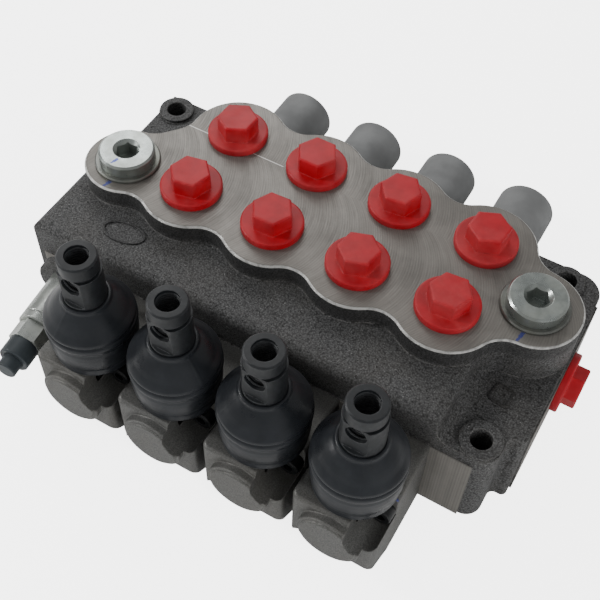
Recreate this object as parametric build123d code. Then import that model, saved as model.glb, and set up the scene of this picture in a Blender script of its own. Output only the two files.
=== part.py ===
from build123d import *
import os

# Monoblock directional control valve, four sections, millimetres.
# +Z up, Z = 0 on the mounting face, X along the row of sections,
# Y = 0 midway between the two rows of work ports, -Y is the lever side.

# Driving sizes
SECTIONS = 4
PITCH = 38.0
BODY_H = 64.0
DECK_H = 55.0
PAD_H = 43.5
FRONT_Y = -60.5
BACK_Y = 41.0
FIRST_X = -(SECTIONS - 1) / 2 * PITCH
LAST_X = -FIRST_X
LEFT_REACH = 50.0
RIGHT_REACH = 47.3
LEFT_X = FIRST_X - LEFT_REACH
RIGHT_X = LAST_X + RIGHT_REACH
STROKE = 6.5
FIT = 0.04
GAP = 0.3

# Casting
CAST_EDGE_R = 4.5
CAST_SETBACK = 1.0
MACHINED_H = 39.0
FRONT_LUG_REACH = 41.0
FRONT_LUG_X = LAST_X + FRONT_LUG_REACH
FRONT_LUG_Y = -44.0
FRONT_LUG_R = 7.0
STEP_R = 5.0
FRONT_LEFT_R = 4.0
BACK_RIGHT_R = 10.0
BACK_LEFT_R = 8.0
DECK_RIGHT_REACH = 18.0
DECK_RIGHT_X = LAST_X + DECK_RIGHT_REACH
DECK_BACK_REACH = 1.0
DECK_BACK_X = LAST_X + DECK_BACK_REACH
DECK_BACK_Y = 20.0
DECK_ARC_R = 40.0
VALLEY_R = 6.0
END_PAD_T = 0.8
END_PAD_H = 40.0

# Port plate
ROW_Y = 17.7
PORT_BOSS_R = 20.8
PORT_R = 7.75
PORT_DEPTH = 14.0
PASSAGE_R = 5.5
PLATE_FILLET = 12.0
PLATE_ROUND = 2.0
PLATE_CHAMFER = 0.8
LEFT_BOSS_REACH = 30.9
LEFT_BOSS_Y = -18.3
LEFT_BOSS = (FIRST_X - LEFT_BOSS_REACH, LEFT_BOSS_Y)
LEFT_BOSS_R = 17.9
RIGHT_BOSS_REACH = 28.2
RIGHT_BOSS_Y = -0.5
RIGHT_BOSS = (LAST_X + RIGHT_BOSS_REACH, RIGHT_BOSS_Y)
RIGHT_BOSS_R = 19.0
BOSS_INSET = 1.2

# Mounting holes
MOUNT_LEFT_REACH = 43.5
MOUNT_RIGHT_REACH = 32.5
MOUNT_BACK_Y = 33.3
MOUNT_FRONT_Y = -51.2
MOUNT_HOLES = (
    (FIRST_X - MOUNT_LEFT_REACH, MOUNT_BACK_Y),
    (LAST_X + MOUNT_RIGHT_REACH, MOUNT_BACK_Y),
    (LAST_X + MOUNT_RIGHT_REACH, MOUNT_FRONT_Y),
)
MOUNT_R = 4.35
MOUNT_RINGS = (7.8, 7.5, 8.2)
MOUNT_RING_T = 1.3
LUG_R = 8.2
PLATE_ARC_R = 25.0

# Spool and its bore
SPOOL_Z = 26.5
SPOOL_R = 8.0
SPOOL_FIT = 0.03
NECK_R = 5.0
GROOVE_R = 12.0
TANK_Y = 30.0
PUMP_Y = 8.85
GROOVE_W = 6.0
PUMP_W = 4.0
LAP = 1.0
CENTRE_LAP = 0.2
LAND_CHAMFER = 0.4
SEAL_R = 10.3
SEAL_DEPTH = 5.0

# Galleries
TANK_R = 4.5
TANK_Z = 12.5
TANK_CROSS_REACH = 23.0
TANK_CROSS_X = FIRST_X - TANK_CROSS_REACH
PUMP_R = 3.0
PUMP_Z = 39.0
CENTRE_R = 3.0
END_PORT_R = 7.75
END_PORT_Z = 27.0
END_PORT_DEPTH = 22.5

# Lever drive
LEVER_Y = -86.0
ARM = 22.0
PIVOT_Z = SPOOL_Z + ARM
BALL_R = 3.5
BALL_GAP = 0.25
BALL_RISE = 1.0
TONGUE_R = 6.0
TONGUE_FLAT = 3.0
TONGUE_START_Y = -72.0
SPOOL_FRONT_Y = -94.0
PIN_R = 3.0
PIN_HALF = 12.8
SHANK_R = 2.5
SHANK_TOP_Z = 37.0
HUB_R = 6.0
HUB_HALF = 6.45
LEVER_BODY_R = 8.0
LEVER_BODY_Z = 58.5
LEVER_TOP_Z = 93.6
LEVER_HEAD_R = 7.4
LEVER_HEAD_H = 6.0
LEVER_GROOVE_R = 6.7
LEVER_GROOVE_H = 1.2
LEVER_HOLE_R = 4.5
LEVER_HOLE_DEPTH = 14.0
LEVER_FLAT_IN = 1.6
LEVER_FLAT_RISE = 1.0
LEVER_SIDE_R = 4.0
LEVER_SIDE_DROP = 11.6
LEVER_SIDE_DEPTH = 8.0

# Lever box
BOX_HALF = 17.2
BOX_FRONT_Y = -103.2
BOX_H = 40.0
BOX_EDGE_R = 3.0
BOX_FOOT_L = 16.0
BOX_FOOT_H = 12.0
BOX_BORE_R = 8.8
BOX_TONGUE_R = 6.6
BOX_BORE_STEP_Y = TONGUE_START_Y - STROKE - 1.0
BOX_BORE_END_Y = SPOOL_FRONT_Y - STROKE - 1.5
DISC_Y = -107.2
DISC_R = 12.6
DISC_STEP = 0.8
DISC_RIM = 1.3
NECK_FLANGE_R = 15.6
NECK_FLANGE_Z = 43.0
NECK_OUT_R = 13.4
NECK_TOP_Z = 56.0
SWING_HALF = 10.6
SCOOP_R = 6.3
SCOOP_X = 12.6
SCOOP_Z = 33.5
SCOOP_FLOOR_Y = -86.0
LOW_SCOOP_R = 4.8

# Box screws, M5
UPPER_SCREW = (12.8, 31.5)
LOWER_SCREW = (-11.0, 10.5)
M5_R = 2.5
M5_HEAD_R = 4.25
M5_HEAD_H = 5.0
M5_HEX = 4.0
M5_HEX_DEPTH = 2.5
M5_GRIP = 9.0
SCREW_GAP = 0.25

# Boot
BOOT_T = 1.5
BOOT_SKIRT_R = 15.0
BEAD_R = 17.7
BEAD_WIRE = 1.25
BEAD_LOW_Z = 57.4
BEAD_HIGH_Z = 60.2
DOME_MID = (14.6, 66.4)
COLLAR_R = 9.3
COLLAR_Z = 71.5
COLLAR_LIP = 1.6

# End caps
CAP_R = 12.75
CAP_END_Y = 80.0
CAP_WALL = 2.4
CAP_ROUND = 2.5
EAR_R = 5.6
EAR_OFF = 12.2
EAR_T = 5.0
CAP_SCREW_GRIP = 6.0

# Centring pack
TAIL_THREAD_R = 3.0
TAIL_THREAD_L = 12.0
TAIL_STEM_R = 3.5
TAIL_STEM_L = 20.0
TAIL_HEAD_R = 6.0
TAIL_HEAD_T = 4.0
CUP_R = 9.6
CUP_T = 1.2
CUP_LIP = 3.0
COIL_R = 6.9
COIL_WIRE = 1.0
COIL_TURNS = 5.5

# Relief valve
RELIEF_OFF = 34.0
RELIEF_X = FIRST_X - RELIEF_OFF
RELIEF_TURN = 5.5
RELIEF_BOSS_R = 14.0
RELIEF_BOSS_T = 3.0
RELIEF_SEAT_Y = -46.0
RELIEF_SEAT_R = 3.2
SLEEVE_R = 8.3
SLEEVE_BORE_R = 5.5
SLEEVE_IN_Y = -49.5
SLEEVE_OUT_Y = -88.0
SLEEVE_THREAD_R = 7.3
SLEEVE_RING_Y = SLEEVE_OUT_Y + 3.0
SLEEVE_RING_W = 1.0
POPPET_L = 12.0
POPPET_NOSE_L = 4.4
POPPET_TIP_R = 2.0
DRAIN_R = 1.5
RELIEF_COIL_R = 3.7
RELIEF_WIRE = 0.8
ADJUST_R = 4.0
ADJUST_SEAT_R = 5.2
ADJUST_SEAT_T = 3.0
ADJUST_END_Y = -103.0
NUT_AF = 13.0
NUT_T = 8.5
NUT_TURN = 15.0
COVER_R = 6.4
COVER_L = 8.0
COVER_TIP_R = 4.2
COVER_TIP_L = 5.5

# Plastic port plugs
PLUG_FLANGE_R = 12.65
PLUG_FLANGE_T = 3.0
PLUG_HEX_AF = 15.0
PLUG_HEX_H = 7.4
END_PLUG_HEX_H = 5.4
PLUG_SHANK_R = 7.6
PLUG_SHANK_L = 9.0
PLUG_WALL = 2.0
PLUG_ROUND = 0.8
PLUG_TURNS_A = (12.0, 3.0, 20.0, 6.0)
PLUG_TURNS_B = (27.0, 0.0, 9.0, 25.0)
END_PLUG_TURN = 15.0

# Steel plugs with washers
STEEL_R = 9.0
STEEL_HEAD_R = 11.5
STEEL_HEAD_H = 5.2
STEEL_HEX = 8.0
STEEL_HEX_DEPTH = 7.0
STEEL_MOUTH_R = 5.6
WASHER_R = 13.5
WASHER_T = 1.5

# Load check valve
CHECK_BORE_R = 7.5
CHECK_SEAT_Z = 33.0
CHECK_SEAT_R = 3.2
CHECK_H = 8.0
CHECK_NOSE_H = 2.4
CHECK_COIL_R = 5.0
CHECK_WIRE = 0.8


def section_x(i):
    """Centre of section i, counted from 0 at the left."""
    return (i - (SECTIONS - 1) / 2) * PITCH


SECTION_XS = [section_x(i) for i in range(SECTIONS)]


def along_y(radius, y0, y1, x=0.0, z=0.0):
    """Cylinder along Y between y0 and y1."""
    plane = Plane((x, y0, z), x_dir=(1, 0, 0), z_dir=(0, 1, 0))
    return extrude(plane * Circle(radius), y1 - y0)


def along_z(radius, z0, z1, x=0.0, y=0.0):
    """Cylinder along Z between z0 and z1."""
    return extrude(Plane((x, y, z0)) * Circle(radius), z1 - z0)


def along_x(radius, x0, x1, y=0.0, z=0.0):
    """Cylinder along X between x0 and x1."""
    plane = Plane((x0, y, z), x_dir=(0, 1, 0), z_dir=(1, 0, 0))
    return extrude(plane * Circle(radius), x1 - x0)


def block(x0, x1, y0, y1, z0, z1):
    """Box given by its limits."""
    centre = Pos((x0 + x1) / 2, (y0 + y1) / 2, (z0 + z1) / 2)
    return centre * Box(x1 - x0, y1 - y0, z1 - z0)


def turned_y(profile, x=0.0, z=0.0):
    """Solid turned about an axis along Y, from (radius, y) points."""
    face = make_face(Polyline(*profile, close=True))
    turned = revolve(face, Axis.Y)
    return Pos(x, 0, z) * turned


def turned_z(edges, x=0.0, y=0.0):
    """Solid turned about a vertical axis, from a closed (radius, z) outline."""
    turned = revolve(Plane.XZ * make_face(edges), Axis.Z)
    return Pos(x, y, 0) * turned


def ring_z(points, x=0.0, y=0.0):
    """Solid turned about a vertical axis, from (radius, z) points."""
    return turned_z(Polyline(*points, close=True), x, y)


def hexagon(across_flats, turn=0.0):
    """Hexagon with a vertex on its own X axis before the turn."""
    return Rot(0, 0, turn) * RegularPolygon(across_flats / 2, 6, major_radius=False)


def coil(radius, wire, length, turns):
    """Compression spring along Z from the origin."""
    path = Helix(pitch=length / turns, height=length, radius=radius)
    start = Plane(path @ 0, z_dir=path % 0)
    return sweep(start * Circle(wire), path)


def near(shapes, x, y):
    """The shapes whose centre lies nearest a point in plan, within a hair."""
    here = [s for s in shapes if abs(s.center().X - x) < 0.01 and abs(s.center().Y - y) < 0.01]
    return here


def relief_turned(shape):
    """Turn a shape built on the Y axis onto the slanted axis of the relief valve."""
    seat = Pos(RELIEF_X, FRONT_Y, END_PORT_Z) * Rot(0, 0, RELIEF_TURN)
    return seat * Pos(0, -FRONT_Y, 0) * shape


def rounded(face, corners):
    """Round named (x, y, radius) corners of a flat outline."""
    for x, y, radius in corners:
        face = fillet(near(face.vertices(), x, y), radius)
    return face


def plate_outline():
    """Outline of the machined port plate before its valleys are rounded."""
    first = SECTION_XS[0]
    last = SECTION_XS[-1]
    face = Pos(*LEFT_BOSS) * Circle(LEFT_BOSS_R)
    face += Pos(*RIGHT_BOSS) * Circle(RIGHT_BOSS_R)
    for x in SECTION_XS:
        for y in (-ROW_Y, ROW_Y):
            face += Pos(x, y) * Circle(PORT_BOSS_R)
    face += Pos((first + last) / 2, 0) * Rectangle(last - first, 2 * ROW_Y + PORT_BOSS_R)
    left = (
        LEFT_BOSS,
        (first, -ROW_Y),
        (first, ROW_Y + PORT_BOSS_R - BOSS_INSET),
        (LEFT_BOSS[0], LEFT_BOSS[1] + LEFT_BOSS_R),
    )
    right = (
        (last, -ROW_Y),
        (RIGHT_BOSS[0], RIGHT_BOSS[1] - RIGHT_BOSS_R + BOSS_INSET),
        (RIGHT_BOSS[0], RIGHT_BOSS[1] + RIGHT_BOSS_R - BOSS_INSET),
        (last, ROW_Y + PORT_BOSS_R / 2),
    )
    face += make_face(Polyline(*left, close=True))
    face += make_face(Polyline(*right, close=True))
    face -= Pos(*MOUNT_HOLES[0]) * Circle(PLATE_ARC_R)
    return face


def soften(face, valley_r, corner_r):
    """Round the valleys of an outline, then its outer corners."""
    face = offset(offset(face, valley_r), -valley_r)
    return offset(offset(face, -corner_r), corner_r)


def casting():
    """The outside of the monoblock, before any machining."""
    face_y = FRONT_Y + CAST_SETBACK
    foot = make_face(
        Polyline(
            (LEFT_X, face_y),
            (FRONT_LUG_X, face_y),
            (FRONT_LUG_X, FRONT_LUG_Y),
            (RIGHT_X, FRONT_LUG_Y),
            (RIGHT_X, BACK_Y),
            (LEFT_X, BACK_Y),
            close=True,
        )
    )
    foot = rounded(
        foot,
        (
            (LEFT_X, face_y, FRONT_LEFT_R),
            (FRONT_LUG_X, face_y, FRONT_LUG_R),
            (FRONT_LUG_X, FRONT_LUG_Y, STEP_R / 2),
            (RIGHT_X, FRONT_LUG_Y, STEP_R / 2),
            (RIGHT_X, BACK_Y, BACK_RIGHT_R),
            (LEFT_X, BACK_Y, BACK_LEFT_R),
        ),
    )
    solid = extrude(foot, PAD_H)
    deck = block(LEFT_X, DECK_RIGHT_X, face_y, BACK_Y, PAD_H / 2, DECK_H)
    rim = deck.faces().sort_by(Axis.Z)[-1].edges()
    deck = fillet(rim, CAST_EDGE_R)
    lug = MOUNT_HOLES[0]
    deck -= along_z(DECK_ARC_R, PAD_H, DECK_H, *lug)
    deck -= block(DECK_BACK_X, DECK_RIGHT_X, DECK_BACK_Y, BACK_Y, PAD_H, DECK_H)
    solid += deck
    valley = block(DECK_RIGHT_X, DECK_RIGHT_X + VALLEY_R, face_y, DECK_BACK_Y, PAD_H, PAD_H + VALLEY_R)
    valley -= along_y(VALLEY_R, face_y, DECK_BACK_Y, DECK_RIGHT_X + VALLEY_R, PAD_H + VALLEY_R)
    solid += valley
    strip = block(LEFT_X + FRONT_LEFT_R, FRONT_LUG_X - FRONT_LUG_R, FRONT_Y, face_y, 0, MACHINED_H)
    solid += strip
    end = block(RIGHT_X, RIGHT_X + END_PAD_T, FRONT_LUG_Y + STEP_R, BACK_Y - BACK_RIGHT_R, 0, END_PAD_H)
    solid += end
    solid += along_z(LUG_R, 0, PAD_H, *lug)
    solid += relief_turned(along_y(RELIEF_BOSS_R, FRONT_Y - RELIEF_BOSS_T, FRONT_Y + RELIEF_BOSS_R, 0, 0))
    return solid


def port_plate():
    """The machined plate and the pedestal it stands on."""
    outline = soften(plate_outline(), PLATE_FILLET, PLATE_ROUND)
    plate = extrude(Pos(0, 0, PAD_H) * outline, BODY_H - PAD_H)
    top = plate.faces().sort_by(Axis.Z)[-1]
    return chamfer(top.edges(), PLATE_CHAMFER)


def spool_bore(x):
    """Bore, grooves, seal seats and port passages of one section."""
    cut = along_y(SPOOL_R + SPOOL_FIT, FRONT_Y, BACK_Y, x, SPOOL_Z)
    grooves = (
        (-TANK_Y, GROOVE_W),
        (-ROW_Y, GROOVE_W),
        (-PUMP_Y, PUMP_W),
        (0.0, GROOVE_W),
        (PUMP_Y, PUMP_W),
        (ROW_Y, GROOVE_W),
        (TANK_Y, GROOVE_W),
    )
    for y, width in grooves:
        cut += along_y(GROOVE_R, y - width / 2, y + width / 2, x, SPOOL_Z)
    cut += along_y(SEAL_R, FRONT_Y, FRONT_Y + SEAL_DEPTH, x, SPOOL_Z)
    cut += along_y(SEAL_R, BACK_Y - SEAL_DEPTH, BACK_Y, x, SPOOL_Z)
    for y in (-ROW_Y, ROW_Y):
        cut += along_z(PASSAGE_R, SPOOL_Z + SPOOL_R, BODY_H, x, y)
        cut += along_z(PORT_R, BODY_H - PORT_DEPTH, BODY_H, x, y)
    return cut


def tapped_holes(x):
    """Tapped holes for the box screws and the cap screws of one section."""
    holes = []
    for dx, z in (UPPER_SCREW, LOWER_SCREW):
        holes.append(along_y(M5_R + FIT, FRONT_Y, FRONT_Y + M5_GRIP, x + dx, z))
    for side in (-1, 1):
        z = SPOOL_Z + side * EAR_OFF
        holes.append(along_y(M5_R + FIT, BACK_Y - CAP_SCREW_GRIP, BACK_Y, x - side * EAR_OFF, z))
    return holes


def galleries():
    """Tank, pump and open-centre galleries along the block."""
    first = SECTION_XS[0]
    last = SECTION_XS[-1]
    left_port_x = LEFT_X + END_PORT_DEPTH
    right_port_x = RIGHT_X + END_PAD_T - END_PORT_DEPTH
    cuts = []
    for y in (-TANK_Y, TANK_Y):
        cuts.append(along_x(TANK_R, TANK_CROSS_X, last, y, TANK_Z))
    cuts.append(along_y(TANK_R, -TANK_Y, TANK_Y, TANK_CROSS_X, TANK_Z))
    cuts.append(along_z(CENTRE_R, TANK_Z, END_PORT_Z, TANK_CROSS_X))
    cuts.append(along_x(CENTRE_R, TANK_CROSS_X, right_port_x, 0, SPOOL_Z))
    cuts.append(along_x(END_PORT_R, LEFT_X, left_port_x, 0, END_PORT_Z))
    cuts.append(along_x(CENTRE_R, left_port_x, TANK_CROSS_X, 0, END_PORT_Z))
    cuts.append(along_x(END_PORT_R, right_port_x, RIGHT_X + END_PAD_T, 0, END_PORT_Z))
    for y in (-PUMP_Y, PUMP_Y):
        cuts.append(along_x(PUMP_R, first, RIGHT_BOSS[0], y, PUMP_Z))
    x, y = LEFT_BOSS
    cuts.append(along_z(STEEL_R, BODY_H - PORT_DEPTH, BODY_H, x, y))
    cuts.append(along_z(PUMP_R, END_PORT_Z, BODY_H - PORT_DEPTH, x, y))
    cuts.append(along_y(PUMP_R, y, -PUMP_Y, x, PUMP_Z))
    cuts.append(along_x(PUMP_R, x, first, -PUMP_Y, PUMP_Z))
    cuts.append(along_x(PUMP_R, x - STEEL_R, x, y, END_PORT_Z))
    mouth_y = FRONT_Y - RELIEF_BOSS_T
    drain_y = (SLEEVE_IN_Y + RELIEF_SEAT_Y) / 2
    cuts.append(relief_turned(along_y(RELIEF_SEAT_R, RELIEF_SEAT_Y, y)))
    cuts.append(relief_turned(along_y(SLEEVE_THREAD_R, mouth_y, RELIEF_SEAT_Y)))
    cuts.append(relief_turned(along_z(DRAIN_R, TANK_Z - END_PORT_Z, -SLEEVE_BORE_R, 0, drain_y)))
    cuts.append(relief_turned(along_y(PUMP_R, drain_y, -TANK_Y, 0, TANK_Z - END_PORT_Z)))
    cuts.append(along_x(PUMP_R, x - STEEL_R, TANK_CROSS_X, -TANK_Y, TANK_Z))
    x, y = RIGHT_BOSS
    cuts.append(along_z(STEEL_R, BODY_H - PORT_DEPTH, BODY_H, x, y))
    cuts.append(along_z(CHECK_BORE_R, CHECK_SEAT_Z, BODY_H - PORT_DEPTH, x, y))
    cuts.append(along_z(CHECK_SEAT_R, END_PORT_Z, CHECK_SEAT_Z, x, y))
    return cuts


def valve_body():
    """The machined monoblock."""
    solid = casting() + port_plate()
    for radius, (x, y) in zip(MOUNT_RINGS, MOUNT_HOLES):
        solid += along_z(radius, PAD_H, PAD_H + MOUNT_RING_T, x, y)
    cuts = [along_z(MOUNT_R, 0, PAD_H + MOUNT_RING_T, x, y) for x, y in MOUNT_HOLES]
    cuts += galleries()
    for x in SECTION_XS:
        cuts.append(spool_bore(x))
        cuts += tapped_holes(x)
    return solid - cuts


def port_plug(turn, hex_h=PLUG_HEX_H):
    """Plastic transport plug standing on the origin, shank down."""
    plug = along_z(PLUG_SHANK_R, -PLUG_SHANK_L, 0)
    plug += along_z(PLUG_FLANGE_R, 0, PLUG_FLANGE_T)
    plug = fillet(plug.edges().group_by(Axis.Z)[-1], PLUG_ROUND)
    head = extrude(Pos(0, 0, PLUG_FLANGE_T) * hexagon(PLUG_HEX_AF, turn), hex_h)
    head = fillet(head.edges().filter_by(Axis.Z), PLUG_ROUND)
    top = head.faces().sort_by(Axis.Z)[-1]
    head = fillet(top.edges(), PLUG_ROUND)
    hollow = along_z(PLUG_SHANK_R - PLUG_WALL, -PLUG_SHANK_L, PLUG_FLANGE_T + hex_h - PLUG_WALL)
    return plug + head - hollow


def steel_plug(centre):
    """Hex-socket plug screwed into the port plate over its washer."""
    x, y = centre
    head_z = BODY_H + WASHER_T
    top_z = head_z + STEEL_HEAD_H
    plug = along_z(STEEL_R, BODY_H - PORT_DEPTH, head_z, x, y)
    head = along_z(STEEL_HEAD_R, head_z, top_z, x, y)
    plug += chamfer(head.edges().group_by(Axis.Z)[-1], PLUG_ROUND)
    socket = Pos(x, y, top_z - STEEL_HEX_DEPTH) * hexagon(STEEL_HEX)
    plug -= extrude(socket, STEEL_HEX_DEPTH)
    lead = STEEL_MOUTH_R - STEEL_HEX / 2
    mouth = ((0, top_z), (STEEL_MOUTH_R, top_z), (STEEL_HEX / 2, top_z - lead), (0, top_z - lead))
    return plug - ring_z(mouth, x, y)


def washer(centre):
    """Sealing washer under a steel plug."""
    ring = along_z(WASHER_R, BODY_H, BODY_H + WASHER_T, *centre)
    ring = chamfer(ring.edges().group_by(Axis.Z)[-1], WASHER_T / 3)
    return ring - along_z(STEEL_R, BODY_H, BODY_H + WASHER_T, *centre)


def lever_box(x):
    """Aluminium housing of one lever, screwed to the front face."""
    housing = block(x - BOX_HALF, x + BOX_HALF, BOX_FRONT_Y, FRONT_Y, 0, BOX_H)
    corners = housing.edges().filter_by(Axis.Z).group_by(Axis.Y)[0]
    housing = fillet(corners, BOX_EDGE_R)
    top = housing.faces().sort_by(Axis.Z)[-1].edges().sort_by(Axis.Y)[:-1]
    housing = fillet(top, BOX_EDGE_R / 2)
    slope = ((BOX_FRONT_Y, 0), (BOX_FRONT_Y + BOX_FOOT_L, 0), (BOX_FRONT_Y, BOX_FOOT_H))
    foot = Plane((x, 0, 0), x_dir=(0, 1, 0), z_dir=(1, 0, 0)) * make_face(Polyline(*slope, close=True))
    housing -= extrude(foot, BOX_HALF, both=True)
    disc = along_y(DISC_R, DISC_Y + DISC_STEP, LEVER_Y, x, SPOOL_Z)
    housing += chamfer(disc.edges().group_by(Axis.Y)[0], DISC_STEP / 2)
    face = along_y(DISC_R - DISC_RIM, DISC_Y, LEVER_Y, x, SPOOL_Z)
    housing += chamfer(face.edges().group_by(Axis.Y)[0], DISC_STEP / 2)
    housing += along_z(NECK_FLANGE_R, BOX_H, NECK_FLANGE_Z, x, LEVER_Y)
    housing += along_z(NECK_OUT_R, NECK_FLANGE_Z, NECK_TOP_Z, x, LEVER_Y)
    housing -= along_y(BOX_BORE_R, BOX_BORE_STEP_Y, FRONT_Y, x, SPOOL_Z)
    housing -= along_y(BOX_TONGUE_R, BOX_BORE_END_Y, BOX_BORE_STEP_Y, x, SPOOL_Z)
    slot_half = HUB_HALF + GAP
    housing -= block(
        x - slot_half, x + slot_half, LEVER_Y - SWING_HALF, LEVER_Y + SWING_HALF, SPOOL_Z, NECK_TOP_Z
    )
    housing -= along_x(PIN_R, x - PIN_HALF, x + PIN_HALF, LEVER_Y, PIVOT_Z)
    scoop_x = x + SCOOP_X
    housing -= along_y(SCOOP_R, DISC_Y, SCOOP_FLOOR_Y, scoop_x, SCOOP_Z)
    housing -= block(scoop_x - SCOOP_R, scoop_x + SCOOP_R, DISC_Y, SCOOP_FLOOR_Y, SCOOP_Z, BOX_H)
    housing -= along_y(LOW_SCOOP_R, DISC_Y, SCOOP_FLOOR_Y, x + LOWER_SCREW[0], LOWER_SCREW[1])
    for dx, z in (UPPER_SCREW, LOWER_SCREW):
        housing -= along_y(M5_R + SCREW_GAP, SCOOP_FLOOR_Y, FRONT_Y, x + dx, z)
    return housing


def cap_screw(x, z, seat_y, grip):
    """Socket-head screw along +Y, its head in front of the seat."""
    head_y = seat_y - M5_HEAD_H
    screw = along_y(M5_HEAD_R, head_y, seat_y, x, z)
    screw = chamfer(screw.edges().group_by(Axis.Y)[0], LAND_CHAMFER)
    screw += along_y(M5_R, seat_y, seat_y + grip, x, z)
    plane = Plane((x, head_y, z), x_dir=(1, 0, 0), z_dir=(0, 1, 0))
    return screw - extrude(plane * hexagon(M5_HEX), M5_HEX_DEPTH)


def box_screws():
    """All the lever box screws."""
    grip = FRONT_Y - SCOOP_FLOOR_Y + M5_GRIP
    return [
        cap_screw(x + dx, z, SCOOP_FLOOR_Y, grip) for x in SECTION_XS for dx, z in (UPPER_SCREW, LOWER_SCREW)
    ]


def flange_screws():
    """All the end cap screws, heads to the back."""
    screws = []
    for x in SECTION_XS:
        for side in (-1, 1):
            z = SPOOL_Z + side * EAR_OFF
            screw = cap_screw(0, 0, 0, EAR_T + CAP_SCREW_GRIP)
            screws.append(Pos(x - side * EAR_OFF, BACK_Y + EAR_T, z) * Rot(0, 0, 180) * screw)
    return screws


def boot(x):
    """Rubber boot: skirt on the box neck, two beads, dome and collar."""
    skirt_in = NECK_OUT_R + SPOOL_FIT
    grip_r = LEVER_BODY_R + FIT
    shoulder_z = BEAD_HIGH_Z + BEAD_WIRE
    shoulder_r = BEAD_R - BEAD_WIRE
    skirt_z = NECK_FLANGE_Z + SPOOL_FIT
    lip_z = COLLAR_Z - COLLAR_LIP
    mid_r, mid_z = DOME_MID
    outer = (
        Polyline((skirt_in, skirt_z), (BOOT_SKIRT_R, skirt_z), (BOOT_SKIRT_R, BEAD_LOW_Z - BEAD_WIRE)),
        Polyline((BOOT_SKIRT_R, BEAD_LOW_Z - BEAD_WIRE), (shoulder_r, BEAD_LOW_Z), (shoulder_r, shoulder_z)),
        ThreePointArc((shoulder_r, shoulder_z), (mid_r, mid_z), (COLLAR_R, lip_z)),
        Polyline((COLLAR_R, lip_z), (COLLAR_R, COLLAR_Z), (grip_r, COLLAR_Z), (grip_r, lip_z - BOOT_T)),
        ThreePointArc(
            (grip_r, lip_z - BOOT_T),
            (mid_r - BOOT_T, mid_z - BOOT_T),
            (shoulder_r - BOOT_T, shoulder_z - BOOT_T),
        ),
        Polyline(
            (shoulder_r - BOOT_T, shoulder_z - BOOT_T),
            (shoulder_r - BOOT_T, BEAD_LOW_Z),
            (skirt_in, BEAD_LOW_Z - BEAD_WIRE),
            (skirt_in, skirt_z),
        ),
    )
    rubber = turned_z(outer, x, LEVER_Y)
    for z in (BEAD_LOW_Z, BEAD_HIGH_Z):
        rubber += Pos(x, LEVER_Y, z) * Torus(BEAD_R - BEAD_WIRE, BEAD_WIRE)
    return rubber


def lever(x):
    """Lever stub: drive ball, pivot hub, body with two tapped holes."""
    stub = Pos(x, LEVER_Y, SPOOL_Z) * Sphere(BALL_R)
    stub += along_z(SHANK_R, SPOOL_Z, SHANK_TOP_Z, x, LEVER_Y)
    web = (
        (LEVER_Y - SHANK_R, SHANK_TOP_Z - 2 * SHANK_R),
        (LEVER_Y + SHANK_R, SHANK_TOP_Z - 2 * SHANK_R),
        (LEVER_Y + HUB_R, PIVOT_Z),
        (LEVER_Y + HUB_R, LEVER_BODY_Z),
        (LEVER_Y - HUB_R, LEVER_BODY_Z),
        (LEVER_Y - HUB_R, PIVOT_Z),
    )
    side = Plane((x, 0, 0), x_dir=(0, 1, 0), z_dir=(1, 0, 0))
    stub += extrude(side * make_face(Polyline(*web, close=True)), SHANK_R, both=True)
    stub += along_x(HUB_R, x - HUB_HALF, x + HUB_HALF, LEVER_Y, PIVOT_Z)
    collar = along_z(LEVER_BODY_R, PIVOT_Z, LEVER_BODY_Z, x, LEVER_Y)
    slab = block(x - HUB_HALF, x + HUB_HALF, LEVER_Y - HUB_R, LEVER_Y + HUB_R, PIVOT_Z, LEVER_BODY_Z)
    stub += collar & slab
    head_z = LEVER_TOP_Z - LEVER_HEAD_H
    neck_z = head_z - LEVER_GROOVE_H
    stub += along_z(LEVER_BODY_R, LEVER_BODY_Z, neck_z, x, LEVER_Y)
    stub += along_z(LEVER_GROOVE_R, neck_z, head_z, x, LEVER_Y)
    head = along_z(LEVER_HEAD_R, head_z, LEVER_TOP_Z, x, LEVER_Y)
    stub += chamfer(head.edges().group_by(Axis.Z)[-1], LEVER_GROOVE_H / 2)
    front_y = LEVER_Y - LEVER_BODY_R
    flat_y = front_y + LEVER_FLAT_IN
    flat_z = COLLAR_Z + LEVER_FLAT_RISE
    stub -= block(x - LEVER_BODY_R, x + LEVER_BODY_R, front_y, flat_y, flat_z, neck_z)
    stub -= along_y(LEVER_SIDE_R, front_y, flat_y + LEVER_SIDE_DEPTH, x, LEVER_TOP_Z - LEVER_SIDE_DROP)
    stub -= along_z(LEVER_HOLE_R, LEVER_TOP_Z - LEVER_HOLE_DEPTH, LEVER_TOP_Z, x, LEVER_Y)
    stub -= along_x(PIN_R + FIT, x - HUB_HALF, x + HUB_HALF, LEVER_Y, PIVOT_Z)
    return stub


def lever_pin(x):
    """Pivot pin pressed into the box neck."""
    pin = along_x(PIN_R, x - PIN_HALF, x + PIN_HALF, LEVER_Y, PIVOT_Z)
    return chamfer(pin.edges().filter_by(GeomType.CIRCLE), LAND_CHAMFER)


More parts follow.
